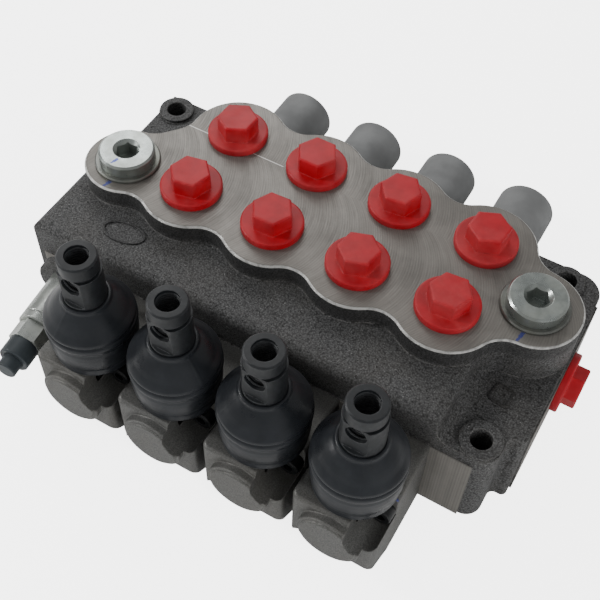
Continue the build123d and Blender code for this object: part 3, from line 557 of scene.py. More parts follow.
@dataclass(frozen=True)
class Finish:
    """A finish, made into a material when a piece first asks for it.

    Attributes:
        name: the material's name.
        colour: its base colour.
        roughness: its mean roughness.
        metallic: how metallic it is.
        edge: the radius its sharp edges are shaded with.
        relief: the depth that its height pattern stands for.
    """

    name: str
    colour: Colour
    roughness: float
    metallic: float = 0.0
    edge: float = 0.35 * MM
    relief: float = 0.02 * MM

    def material(self) -> bpy.types.Material:
        """Find the finish's material, or build it on first use.

        Returns:
            The material.
        """
        made = bpy.data.materials.get(self.name)
        if made is not None:
            return made
        made = bpy.data.materials.new(self.name)
        coat = Coat(made)
        coat.put("Metallic", self.metallic)
        self.dress(coat)
        return made

    def dress(self, coat: Coat) -> None:
        """Wire colour, roughness and normal.

        Args:
            coat: the material's graph.
        """
        raise NotImplementedError

    def bumped(self, coat: Coat, height: Value) -> Socket:
        """Feed the shader's normal from a height over softened edges.

        Args:
            coat: the material's graph.
            height: the height pattern.

        Returns:
            The edges' mask of wear and painted highlight.
        """
        edge = coat.use(Effects.soft_edge(), Radius=self.edge, Vector=coat.place)
        bump = coat.add("Bump")
        coat.feed(bump.inputs["Strength"], 1.0)
        coat.feed(bump.inputs["Distance"], self.relief)
        coat.feed(bump.inputs["Height"], height)
        coat.feed(bump.inputs["Normal"], edge.outputs["Normal"])
        coat.put("Normal", bump.outputs["Normal"])
        return edge.outputs["WearAndHighlight"]

    def inked(self, coat: Coat, colour: Value, strokes: Iterable[Stroke]) -> Value:
        """Lay marker strokes over a colour.

        Args:
            coat: the material's graph.
            colour: the colour underneath.
            strokes: the strokes.

        Returns:
            The colour with the strokes on it.
        """
        for stroke in strokes:
            local = coat.add("Mapping", vector_type="TEXTURE")
            coat.feed(local.inputs["Vector"], coat.place)
            coat.feed(local.inputs["Location"], stroke.centre)
            coat.feed(local.inputs["Rotation"], (0.0, 0.0, math.radians(stroke.turn)))
            mark = coat.use(
                Effects.marker_stroke(), Vector=local.outputs[0], Length=stroke.length, Width=stroke.width
            )
            colour = coat.mix(mark.outputs["Mask"], colour, INK)
        return colour


@dataclass(frozen=True)
class CastIron(Finish):
    """Sand-cast iron, milled on its machined faces.

    Attributes:
        milled: colour of the milled faces.
        bright: colour of the fresh chamfer round the port plate.
        strokes: marker strokes on the milled plate.
        faces: the milled faces: port plate, front, right pad, foot and back.
        brim: the chamfer round the port plate.
        wall: the side of the port plate, darkened with painted shade.
        score: the bright line across the plate.
    """

    milled: Colour = srgb(112, 109, 104)
    bright: Colour = srgb(190, 189, 186)
    strokes: tuple[Stroke, ...] = ()
    faces: tuple[Patch, ...] = (
        Patch((0, 0, PLATE_Z), (EVERYWHERE, EVERYWHERE, 0.1 * MM)),
        Patch((0, FRONT_Y, 19.5 * MM), (EVERYWHERE, 0.2 * MM, 19.5 * MM), 0.3 * MM),
        Patch((PAD_X, -3.0 * MM, 20.0 * MM), (0.15 * MM, 50.0 * MM, 30.0 * MM)),
        Patch((0, 0, 0), (EVERYWHERE, EVERYWHERE, 0.15 * MM)),
        Patch((0, BACK_Y, 26.5 * MM), (82.0 * MM, 0.05 * MM, 21.5 * MM), 0.05 * MM),
    )
    brim: Patch = Patch((0, 0, 63.6 * MM), (EVERYWHERE, EVERYWHERE, 0.32 * MM), 0.06 * MM)
    wall: Patch = Patch((0, 0, 60.0 * MM), (EVERYWHERE, EVERYWHERE, 2.6 * MM), 2.0 * MM)
    score: Patch = Patch((-55.0 * MM, 11.8 * MM, PLATE_Z), (23.5 * MM, 0.12 * MM, 0.2 * MM), 0.12 * MM)

    def dress(self, coat: Coat) -> None:
        """Cast grain everywhere, milling marks on the machined faces.

        Args:
            coat: the material's graph.
        """
        grain = coat.use(Effects.cast_grain(), Vector=coat.place, Scale=1650.0, Pits=0.8)
        mill = coat.use(Effects.mill_marks(), Vector=coat.place, Spacing=1.05 * MM)
        machined, *others = (face.mask(coat) for face in self.faces)
        for mask in others:
            machined = coat.maths("MAXIMUM", machined, mask)
        chipped = coat.ramp(coat.noise(coat.place, 380.0, 3.0), 0.3, 0.55, (0.45, 1.0))
        brim = coat.times(self.brim.mask(coat), chipped)
        colour = coat.mix(machined, self.cast_colour(coat, grain), self.milled_colour(coat, mill))
        colour = coat.mix(brim, colour, self.bright)
        height = coat.mix(machined, grain.outputs["Height"], mill.outputs["Height"])
        depth = coat.plus(coat.times(machined, -0.9), 1.0)
        wear_and_highlight = self.bumped(coat, coat.times(height, depth))
        # Painted highlight and wear: edges are lightened towards pale grey.
        coat.put("Base Color", coat.mix(coat.times(wear_and_highlight, 0.4), colour, srgb(128, 126, 122)))
        polish = coat.maths("MAXIMUM", machined, brim)
        coat.put("Metallic", coat.times(polish, 0.5))
        rough = coat.ramp(grain.outputs["Tone"], 0.2, 0.9, (self.roughness + 0.12, self.roughness - 0.14))
        smooth = coat.ramp(mill.outputs["Tone"], 0.3, 0.7, (0.52, 0.38))
        coat.put("Roughness", coat.mix(polish, rough, smooth))

    def cast_colour(self, coat: Coat, grain: Node) -> Socket:
        """Colour of the cast skin.

        Args:
            coat: the material's graph.
            grain: the cast grain's node.

        Returns:
            The colour, dirty in places, with painted shade under the plate's brim.
        """
        dirt = coat.use(Effects.smudges(), Vector=coat.place, Scale=38.0)
        dark, light = shades(self.colour, 0.30, 2.7)
        cast = coat.mix(coat.ramp(grain.outputs["Tone"], 0.28, 0.86), dark, light)
        cast = coat.mix(coat.times(dirt.outputs["Mask"], 0.25), cast, srgb(64, 60, 54))
        # Painted glints: some grains are lightened as if they caught the light.
        cast = coat.mix(coat.times(grain.outputs["Glint"], 0.55), cast, srgb(150, 150, 148))
        # Painted shade: a band below the port plate's brim is darkened.
        return coat.mix(coat.times(self.wall.mask(coat), 0.6), cast, dark)

    def milled_colour(self, coat: Coat, mill: Node) -> Socket:
        """Colour of the milled faces.

        Args:
            coat: the material's graph.
            mill: the mill marks' node.

        Returns:
            The colour, with the marker strokes and the bright line on it.
        """
        dull, clear = shades(self.milled, 0.72, 1.22)
        milled = coat.mix(coat.ramp(mill.outputs["Tone"], 0.3, 0.7), dull, clear)
        milled = self.inked(coat, milled, self.strokes)
        return coat.mix(self.score.mask(coat), milled, self.bright)


@dataclass(frozen=True)
class RedPlastic(Finish):
    """Soft moulded polyethylene of the port plugs."""

    def dress(self, coat: Coat) -> None:
        """Faint moulding waves, edges whitened partly by wear and partly as painted highlight, and a waxy
        sheen.

        Args:
            coat: the material's graph.
        """
        flow = coat.noise(coat.place, 160.0, 3.0, 0.5)
        fine = coat.noise(coat.place, 3800.0, 2.0, 0.6)
        dust = coat.use(Effects.smudges(), Vector=coat.place, Scale=70.0)
        deep = tuple(0.80 * c for c in self.colour)
        colour = coat.mix(coat.ramp(flow, 0.3, 0.7), deep, self.colour)
        colour = coat.mix(coat.times(dust.outputs["Mask"], 0.10), colour, srgb(214, 150, 146))
        height = coat.plus(coat.times(flow, 2.0), coat.times(fine, 0.25))
        wear_and_highlight = self.bumped(coat, height)
        # Painted highlight and wear: edges are lightened towards pale red.
        coat.put("Base Color", coat.mix(coat.times(wear_and_highlight, 0.15), colour, srgb(206, 84, 84)))
        limits = (self.roughness - 0.05, self.roughness + 0.14)
        coat.put("Roughness", coat.ramp(dust.outputs["Mask"], 0.0, 1.0, limits))
        coat.put("Subsurface Weight", 0.08)
        coat.put("Subsurface Radius", (0.004, 0.0012, 0.0008))
        coat.put("Specular IOR Level", 0.3)


@dataclass(frozen=True)
class ZincPlate(Finish):
    """Bright zinc plating over turned steel.

    Attributes:
        axis_at: a point on the axis that the tool marks go round.
        tilt: the turn that brings that axis onto Z, as angles in degrees.
        strokes: marker strokes on it.
    """

    axis_at: Point = (0.0, 0.0, 0.0)
    tilt: Point = (0.0, 0.0, 0.0)
    strokes: tuple[Stroke, ...] = ()

    def dress(self, coat: Coat) -> None:
        """Turned rings and clouded plating.

        Args:
            coat: the material's graph.
        """
        local = coat.add("Mapping", vector_type="TEXTURE")
        coat.feed(local.inputs["Vector"], coat.place)
        coat.feed(local.inputs["Location"], self.axis_at)
        coat.feed(local.inputs["Rotation"], tuple(math.radians(a) for a in self.tilt))
        rings = coat.use(Effects.turned_rings(), Vector=local.outputs[0])
        cloud = coat.use(Effects.smudges(), Vector=coat.place, Scale=130.0)
        fine = coat.noise(coat.place, 2400.0, 3.0, 0.6)
        dull = tuple(0.70 * c for c in self.colour)
        colour = coat.mix(coat.ramp(coat.noise(coat.place, 190.0, 4.0, 0.6), 0.3, 0.72), dull, self.colour)
        colour = coat.mix(coat.times(cloud.outputs["Mask"], 0.22), colour, srgb(150, 150, 132))
        colour = self.inked(coat, colour, self.strokes)
        height = coat.plus(rings.outputs["Height"], coat.times(fine, 0.5))
        wear_and_highlight = self.bumped(coat, height)
        # Painted highlight and wear: edges are lightened towards near white.
        coat.put("Base Color", coat.mix(coat.times(wear_and_highlight, 0.35), colour, srgb(226, 229, 227)))
        spread = coat.plus(coat.times(fine, 0.12), coat.times(cloud.outputs["Mask"], 0.14))
        coat.put("Roughness", coat.plus(spread, self.roughness - 0.1))


@dataclass(frozen=True)
class BlastedAluminium(Finish):
    """Bead-blasted aluminium casting.

    Attributes:
        strokes: marker strokes on it.
    """

    strokes: tuple[Stroke, ...] = ()

    def dress(self, coat: Coat) -> None:
        """Fine blasted grain with brighter edges, partly rubbed and partly painted highlight.

        Args:
            coat: the material's graph.
        """
        grain = coat.use(Effects.cast_grain(), Vector=coat.place, Scale=2300.0, Pits=0.2)
        dirt = coat.use(Effects.smudges(), Vector=coat.place, Scale=55.0)
        dark, light = shades(self.colour, 0.66, 1.3)
        colour = coat.mix(coat.ramp(grain.outputs["Tone"], 0.3, 0.85), dark, light)
        colour = coat.mix(coat.times(dirt.outputs["Mask"], 0.3), colour, srgb(84, 80, 72))
        colour = self.inked(coat, colour, self.strokes)
        wear_and_highlight = self.bumped(coat, grain.outputs["Height"])
        # Painted highlight and wear: edges are lightened towards pale grey.
        coat.put("Base Color", coat.mix(coat.times(wear_and_highlight, 0.3), colour, srgb(170, 169, 165)))
        rough = coat.ramp(grain.outputs["Tone"], 0.2, 0.9, (self.roughness + 0.08, self.roughness - 0.1))
        coat.put("Roughness", rough)


@dataclass(frozen=True)
class MouldedRubber(Finish):
    """Black rubber with a faint bloom."""

    def dress(self, coat: Coat) -> None:
        """Fine moulded skin, dusty bloom and a soft gloss.

        Args:
            coat: the material's graph.
        """
        skin = coat.noise(coat.place, 5200.0, 2.0, 0.6)
        waves = coat.noise(coat.place, 210.0, 3.0, 0.55)
        bloom = coat.use(Effects.smudges(), Vector=coat.place, Scale=65.0)
        pale = tuple(min(1.0, 1.9 * c) for c in self.colour)
        colour = coat.mix(coat.times(bloom.outputs["Mask"], 0.5), self.colour, pale)
        height = coat.plus(coat.times(waves, 3.0), coat.times(skin, 0.5))
        wear_and_highlight = self.bumped(coat, height)
        # Painted highlight and wear: edges are lightened towards the pale bloom colour.
        coat.put("Base Color", coat.mix(coat.times(wear_and_highlight, 0.25), colour, pale))
        rough = coat.plus(coat.times(bloom.outputs["Mask"], 0.22), self.roughness)
        coat.put("Roughness", coat.plus(rough, coat.times(skin, 0.06)))
        coat.put("Specular IOR Level", 0.3)


@dataclass(frozen=True)
class BlackedSteel(Finish):
    """Oil-blacked or phosphated steel, rubbed along its edges, with painted highlight there too."""

    def dress(self, coat: Coat) -> None:
        """Mottled coating with steel showing at worn edges, which are also lightened as painted highlight.

        Args:
            coat: the material's graph.
        """
        mottle = coat.noise(coat.place, 520.0, 5.0, 0.65)
        fine = coat.noise(coat.place, 3000.0, 2.0, 0.6)
        oil = coat.use(Effects.smudges(), Vector=coat.place, Scale=120.0)
        pale = tuple(min(1.0, 1.7 * c) for c in self.colour)
        colour = coat.mix(coat.ramp(mottle, 0.35, 0.75), self.colour, pale)
        height = coat.plus(mottle, coat.times(fine, 0.4))
        wear_and_highlight = self.bumped(coat, height)
        # Painted highlight and wear: edges are lightened towards bare steel grey.
        coat.put("Base Color", coat.mix(coat.times(wear_and_highlight, 0.35), colour, srgb(118, 120, 122)))
        rough = coat.minus(self.roughness + 0.12, coat.times(oil.outputs["Mask"], 0.2))
        coat.put("Roughness", rough)


@dataclass(frozen=True)
class GroundSteel(Finish):
    """Ground and lapped steel, marked lengthwise round its Y axis."""

    def dress(self, coat: Coat) -> None:
        """Fine grinding lines across the length.

        Args:
            coat: the material's graph.
        """
        stretched = coat.vector("MULTIPLY", coat.place, (0.05, 1.0, 0.05))
        lines = coat.noise(stretched, 9000.0, 3.0, 0.7)
        oil = coat.use(Effects.smudges(), Vector=coat.place, Scale=90.0)
        dull = tuple(0.8 * c for c in self.colour)
        coat.put("Base Color", coat.mix(lines, dull, self.colour))
        self.bumped(coat, lines)
        spread = coat.times(oil.outputs["Mask"], 0.12)
        coat.put("Roughness", coat.plus(spread, self.roughness))


@dataclass(frozen=True)
class CapCoat(Finish):
    """Smooth grey phosphate coat of the spool caps."""

    def dress(self, coat: Coat) -> None:
        """Even grey with a crystalline bloom and a few rubs; its lighter edges are partly wear and partly
        painted highlight.

        Args:
            coat: the material's graph.
        """
        crystals = coat.noise(coat.place, 2600.0, 4.0, 0.7)
        broad = coat.noise(coat.place, 75.0, 3.0, 0.5)
        dust = coat.use(Effects.smudges(), Vector=coat.place, Scale=60.0)
        dark, light = shades(self.colour, 0.82, 1.16)
        colour = coat.mix(coat.ramp(broad, 0.3, 0.7), dark, light)
        colour = coat.mix(coat.times(coat.ramp(crystals, 0.4, 0.7), 0.25), colour, dark)
        wear_and_highlight = self.bumped(coat, crystals)
        # Painted highlight and wear: edges are lightened towards the light shade.
        coat.put("Base Color", coat.mix(coat.times(wear_and_highlight, 0.3), colour, light))
        coat.put("Roughness", coat.plus(coat.times(dust.outputs["Mask"], 0.15), self.roughness))


@dataclass(frozen=True)
class FinishBook:
    """All the finishes of the valve.

    Attributes:
        body: the casting.
        mark: the raised rims on the casting.
        plug: the plugs in the work ports and the end ports.
        left_plug: the steel plug at the left of the port plate.
        right_plug: the steel plug at its right.
        washer: the sealing washers.
        relief: the relief valve's sleeve and nut.
        box: the lever boxes.
        marked_box: the lever box with a marker stroke on it.
        boot: the rubber boots.
        seal: the spool seals.
        lever: the lever stubs.
        screw: the black screws.
        ground: spools, pins and poppets.
        cap: the spools' end caps.
        spring: the springs.
        cover: the relief valve's cover.
    """

    body: Finish = CastIron(
        "cast_iron_body", srgb(58, 58, 58), 0.62, edge=0.9 * MM, relief=0.26 * MM,
        strokes=(
            Stroke((-87.4 * MM, -33.0 * MM, PLATE_Z), 76.0, 5.6 * MM, 1.5 * MM),
            Stroke((85.8 * MM, -15.9 * MM, PLATE_Z), 82.0, 6.4 * MM, 1.4 * MM),
        ),
    )
    mark: Finish = CastIron("cast_iron_mark", srgb(40, 40, 40), 0.6, edge=0.15 * MM, relief=0.12 * MM)
    plug: Finish = RedPlastic("red_port_plug", srgb(166, 17, 30), 0.5, edge=0.95 * MM, relief=0.03 * MM)
    left_plug: Finish = ZincPlate(
        "zinc_top_plug_left", srgb(160, 166, 163), 0.3, 0.85, 0.25 * MM, 0.006 * MM,
        axis_at=(-87.9 * MM, -18.3 * MM, 0.0),
        strokes=(Stroke((-87.9 * MM, -26.4 * MM, 70.7 * MM), 72.0, 4.2 * MM, 1.1 * MM),),
    )
    right_plug: Finish = ZincPlate(
        "zinc_top_plug_right", srgb(160, 166, 163), 0.3, 0.85, 0.25 * MM, 0.006 * MM,
        axis_at=(85.2 * MM, -0.5 * MM, 0.0),
    )
    washer: Finish = ZincPlate("washer_steel", srgb(120, 122, 118), 0.42, 0.85, 0.2 * MM, 0.008 * MM)
    relief: Finish = ZincPlate(
        "zinc_relief_valve", srgb(186, 190, 186), 0.3, 0.9, 0.3 * MM, 0.008 * MM,
        axis_at=(-91.0 * MM, FRONT_Y, 27.0 * MM), tilt=(90.0, 0.0, 5.5),
    )
    box: Finish = BlastedAluminium("blasted_lever_box", srgb(94, 94, 92), 0.5, 0.5, 0.8 * MM, 0.05 * MM)
    marked_box: Finish = BlastedAluminium(
        "blasted_lever_box_marked", srgb(94, 94, 92), 0.5, 0.5, 0.8 * MM, 0.05 * MM,
        strokes=(Stroke((72.6 * MM, -88.4 * MM, 40.0 * MM), 70.0, 7.0 * MM, 1.8 * MM),),
    )
    boot: Finish = MouldedRubber("boot_rubber", srgb(27, 29, 32), 0.24, edge=0.25 * MM)
    seal: Finish = MouldedRubber("seal_rubber", srgb(30, 31, 32), 0.5)
    lever: Finish = BlackedSteel("blacked_lever_steel", srgb(20, 22, 24), 0.46, 0.05, 0.4 * MM, 0.02 * MM)
    screw: Finish = BlackedSteel("blacked_screw_steel", srgb(22, 23, 24), 0.36, 0.4, 0.2 * MM, 0.015 * MM)
    ground: Finish = GroundSteel("ground_steel", srgb(176, 178, 180), 0.2, 1.0, 0.2 * MM, 0.003 * MM)
    cap: Finish = CapCoat("cap_grey", srgb(112, 113, 113), 0.7, 0.0, 0.6 * MM, 0.012 * MM)
    spring: Finish = BlackedSteel("spring_wire", srgb(92, 92, 90), 0.3, 0.8, 0.1 * MM, 0.01 * MM)
    cover: Finish = MouldedRubber(
        "black_cover_plastic", srgb(46, 51, 54), 0.34, edge=0.5 * MM, relief=0.015 * MM
    )


def dress(node: str, finish: Finish) -> None:
    """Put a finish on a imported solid.

    Args:
        node: the solid's name.
        finish: its finish.
    """
    made = finish.material()
    for slot in bpy.data.objects[node].material_slots:
        slot.material = made
    LOG.info("dressed %s with %s", node, finish.name)


def as_piece(
    mesh: bmesh.types.BMesh, name: str, finish: Finish, smooth_below: float = 40.0
) -> bpy.types.Object:
    """Turn a bmesh into a shaded object at the origin.

    Args:
        mesh: the shape; it is freed.
        name: the new object's name.
        finish: its finish.
        smooth_below: edges blunter than this angle in degrees are shaded smooth.

    Returns:
        The new object.
    """
    bmesh.ops.remove_doubles(mesh, verts=mesh.verts, dist=MERGE_DIST)
    bmesh.ops.recalc_face_normals(mesh, faces=mesh.faces)
    for face in mesh.faces:
        face.smooth = True
    for edge in mesh.edges:
        blunt = edge.calc_face_angle(0.0) < math.radians(smooth_below)
        edge.smooth = len(edge.link_faces) == 2 and blunt
    data = bpy.data.meshes.new(name)
    mesh.to_mesh(data)
    mesh.free()
    data.materials.append(finish.material())
    piece = bpy.data.objects.new(name, data)
    bpy.context.scene.collection.objects.link(piece)
    return piece


@dataclass
class BlankMark:
    """A raised cast rim round a bare field.

    Attributes:
        name: the piece's name.
        centre: the middle of the mark, on the casting.
        half: half its length and half its width.
        turn: its turn in degrees.
        corner: corner radius as a share of the half width, or zero for an oval.
        rim: how wide the rim is.
        rise: how far it stands out.
        sunk: how far it goes into the casting.
        rounding: the rounding of its crest, as a share of its rise.
        crest_angle: an edge sharper than this, in radians, is rounded.
    """

    name: str
    centre: Point
    half: tuple[float, float]
    turn: float
    corner: float = 0.0
    rim: float = 1.15 * MM
    rise: float = 0.6 * MM
    sunk: float = 0.3 * MM
    rounding: float = 0.4
    crest_angle: float = 0.7

    def build(self, finish: Finish) -> bpy.types.Object:
        """Build the rim.

        Args:
            finish: the casting's finish.

        Returns:
            The rim.
        """
        mesh = bmesh.new()
        if self.corner:
            bmesh.ops.create_grid(mesh, x_segments=1, y_segments=1, size=1.0)
            bmesh.ops.scale(mesh, vec=(*self.half, 1.0), verts=mesh.verts)
            bmesh.ops.bevel(
                mesh, geom=list(mesh.verts), offset=self.corner * self.half[1], segments=6, profile=0.5,
                affect="VERTICES", material=-1,
            )
        else:
            bmesh.ops.create_circle(mesh, cap_ends=True, segments=72, radius=1.0)
            bmesh.ops.scale(mesh, vec=(*self.half, 1.0), verts=mesh.verts)
        field_faces = list(mesh.faces)
        bmesh.ops.inset_region(
            mesh, faces=field_faces, thickness=self.rim, use_even_offset=True, use_boundary=True
        )
        bmesh.ops.delete(mesh, geom=field_faces, context="FACES")
        grown = bmesh.ops.extrude_face_region(mesh, geom=list(mesh.faces), use_keep_orig=True)
        tops = [item for item in grown["geom"] if isinstance(item, bmesh.types.BMVert)]
        bmesh.ops.translate(mesh, vec=(0, 0, self.rise + self.sunk), verts=tops)
        crest = [
            edge for edge in mesh.edges
            if all(v in tops for v in edge.verts) and len(edge.link_faces) == 2
            and edge.calc_face_angle(0.0) > self.crest_angle
        ]
        bmesh.ops.bevel(
            mesh, geom=crest, offset=self.rounding * self.rise, segments=3, profile=0.5,
            affect="EDGES", material=-1,
        )
        shift = Matrix.Translation(Vector(self.centre) - Vector((0, 0, self.sunk)))
        spun = Matrix.Rotation(math.radians(self.turn), 4, "Z")
        bmesh.ops.transform(mesh, matrix=shift @ spun, verts=mesh.verts)
        piece = as_piece(mesh, self.name, finish)
        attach(piece, "valve")
        LOG.info("built %s", self.name)
        return piece


@dataclass
class Monoblock:
    """The machined casting and the blank marks on it.

    Attributes:
        marks: the marks.
    """

    marks: tuple[BlankMark, ...] = (
        BlankMark("blank_oval_mark", (-71.7 * MM, -45.2 * MM, 55.0 * MM), (9.6 * MM, 5.4 * MM), 6.0),
        BlankMark(
            "blank_square_mark", (88.4 * MM, -29.6 * MM, 43.5 * MM), (4.4 * MM, 4.4 * MM), -8.0, corner=0.45
        ),
    )

    def build(self, book: FinishBook) -> None:
        """Dress the casting and add its marks.

        Args:
            book: the finishes.
        """
        dress("valve_body", book.body)
        for mark in self.marks:
            mark.build(book.mark)


class Row(Enum):
    """The two rows of work ports."""

    FRONT = "a"
    BACK = "b"


@dataclass
class PortPlugs:
    """Plastic transport plugs in the work ports and both end ports.

    Attributes:
        sections: how many ports a row has.
    """

    sections: int = SECTIONS

    def build(self, book: FinishBook) -> None:
        """Dress every plastic plug.

        Args:
            book: the finishes.
        """
        names = [f"port_plug_{row.value}_{n}" for row in Row for n in range(1, self.sections + 1)]
        for name in names + ["inlet_port_plug", "tank_port_plug"]:
            dress(name, book.plug)


@dataclass
class SteelPlugs:
    """Hex-socket plugs of the port plate with their washers."""

    def build(self, book: FinishBook) -> None:
        """Dress both plugs and both washers.

        Args:
            book: the finishes.
        """
        dress("top_plug_left", book.left_plug)
        dress("top_plug_right", book.right_plug)
        for name in ("top_plug_left_washer", "top_plug_right_washer"):
            dress(name, book.washer)


@dataclass
class ThreadCrest:
    """The crests of a tapped hole, as one helical ridge.

    Attributes:
        radius: the hole's radius.
        pitch: the thread's pitch.
        depth: how far the thread goes in.
        height: how far its crest stands in from the wall.
        steps: how many steps a turn has.
        skin: how far its foot goes into the wall.
        foot: half the foot's width, as a share of the pitch.
    """

    radius: float
    pitch: float
    depth: float
    height: float
    steps: int = 28
    skin: float = 0.02 * MM
    foot: float = 0.42

    def ridge(self) -> bmesh.types.BMesh:
        """Build the ridge, going down Z from the origin.

        Returns:
            The ridge, closed at both ends.
        """
        mesh = bmesh.new()
        outer = self.radius + self.skin
        outline = ((outer, self.foot), (self.radius - self.height, 0.0), (outer, -self.foot))
        verts = [mesh.verts.new((r, 0.0, (share - 0.5) * self.pitch)) for r, share in outline]
        face = mesh.faces.new(verts)
        count = int((self.depth / self.pitch - 1) * self.steps)
        bmesh.ops.spin(
            mesh, geom=[face, *face.verts, *face.edges], cent=(0, 0, 0), axis=(0, 0, 1),
            dvec=(0, 0, -self.pitch / self.steps), angle=2 * math.pi * count / self.steps, steps=count,
            use_merge=False, use_duplicate=False,
        )
        bmesh.ops.holes_fill(mesh, edges=mesh.edges, sides=3)
        LOG.debug("thread of %d steps", count)
        return mesh


@dataclass
class RubberBoot:
    """Moulded boot: lip, skirt, two beads, dome, collar and a parting line.

    Attributes:
        outline: its closed profile in millimetres, radius and height, from the lip up the outside.
        dome: the first and the last point of the dome and collar in that profile.
        rounding: how far each corner of the profile is rounded.
        steps: how many steps the profile is turned in.
        seam_from: the height where the parting line starts.
        seam_rise: how far the parting line stands out.
        blend_from: the height up to which it would stay with the valve; not used.
        blend_to: the height from which it would go with the lever; not used.
        wall: how far from its outer skin a point still counts as outside.
        smooth_below: edges blunter than this angle in degrees are shaded smooth.
    """

    outline: tuple[tuple[float, float], ...] = (
        (15.66, 40.7), (16.05, 40.6), (16.3, 41.3), (16.25, 43.0), (16.3, 44.3), (16.75, 45.6),
        (17.05, 48.0), (17.2, 51.0), (17.1, 53.4), (16.8, 54.7), (16.85, 55.5), (17.3, 56.2),
        (17.62, 57.0), (17.62, 57.9), (17.3, 58.7), (16.7, 59.2), (16.65, 59.6), (17.1, 60.1),
        (17.35, 60.8), (17.05, 61.6), (16.2, 62.6), (15.1, 63.8), (13.9, 65.4), (12.5, 67.0),
        (11.3, 68.2), (10.4, 69.0), (9.8, 69.5), (9.45, 70.0), (9.35, 70.5), (9.35, 71.0), (9.0, 71.42),
        (8.06, 71.45), (8.06, 69.3), (9.2, 68.0), (11.0, 66.3), (13.0, 63.9), (14.6, 61.6),
        (15.3, 59.8), (15.5, 57.6), (15.6, 54.6), (15.5, 51.0), (14.6, 47.4), (13.46, 46.4),
        (13.46, 43.06), (15.66, 43.06),
    )
    dome: tuple[int, int] = (15, 30)
    rounding: float = 0.22 * MM
    steps: int = 144
    seam_from: float = 59.0 * MM
    seam_rise: float = 0.16 * MM
    blend_from: float = 61.5 * MM
    blend_to: float = 70.2 * MM
    wall: float = 0.5 * MM
    smooth_below: float = 75.0

    def build(self, number: int, x: float, seam: float, finish: Finish) -> bpy.types.Object:
        """Build one boot.

        Args:
            number: the section's number from the left.
            x: the section's place.
            seam: the direction of the parting line, in degrees from +X.
            finish: the rubber.

        Returns:
            The boot.
        """
        mesh = bmesh.new()
        wire = [mesh.verts.new((r * MM, 0.0, z * MM)) for r, z in self.outline]
        for first, second in zip(wire, wire[1:] + wire[:1]):
            mesh.edges.new((first, second))
        bmesh.ops.bevel(
            mesh, geom=list(mesh.verts), offset=self.rounding, segments=2, profile=0.5,
            affect="VERTICES", material=-1,
        )
        bmesh.ops.spin(
            mesh, geom=[*mesh.verts, *mesh.edges], cent=(0, 0, 0), axis=(0, 0, 1), dvec=(0, 0, 0),
            angle=2 * math.pi, steps=self.steps, use_merge=True, use_duplicate=False,
        )
        self.raise_seam(mesh)
        turned = Matrix.Rotation(math.radians(seam), 4, "Z")
        bmesh.ops.transform(mesh, matrix=Matrix.Translation((x, LEVER_Y, 0)) @ turned, verts=mesh.verts)
        piece = as_piece(mesh, f"rubber_boot_{number}", finish, self.smooth_below)
        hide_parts(f"boot_{number}")
        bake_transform(piece)
        LOG.info("built boot %d", number)
        return piece

    def raise_seam(self, mesh: bmesh.types.BMesh) -> None:
        """Raise the parting line on both sides of the dome.

        Args:
            mesh: the turned boot, still about the origin, with its parting line along X.
        """
        half_step = math.pi / self.steps
        for v in mesh.verts:
            away = math.hypot(v.co.x, v.co.y)
            angle = abs(math.atan2(v.co.y, v.co.x))
            outside = v.co.z > self.seam_from and self.is_outside(away, v.co.z)
            if outside and min(angle, abs(angle - math.pi)) < half_step:
                grown = (away + self.seam_rise) / away
                v.co.x *= grown
                v.co.y *= grown

    def is_outside(self, away: float, height: float) -> bool:
        """Tell whether a point lies on the outer skin of the dome.

        Args:
            away: its distance from the boot's axis.
            height: its height.

        Returns:
            Whether it does.
        """
        rising = [(r * MM, z * MM) for r, z in self.outline[slice(*self.dome)]]
        for (r0, z0), (r1, z1) in zip(rising, rising[1:]):
            low, high = sorted((z0, z1))
            if low - HEIGHT_SLACK <= height <= high + HEIGHT_SLACK:
                share = 0.5 if high == low else (height - z0) / (z1 - z0)
                if away > r0 + share * (r1 - r0) - self.wall:
                    return True
        return False


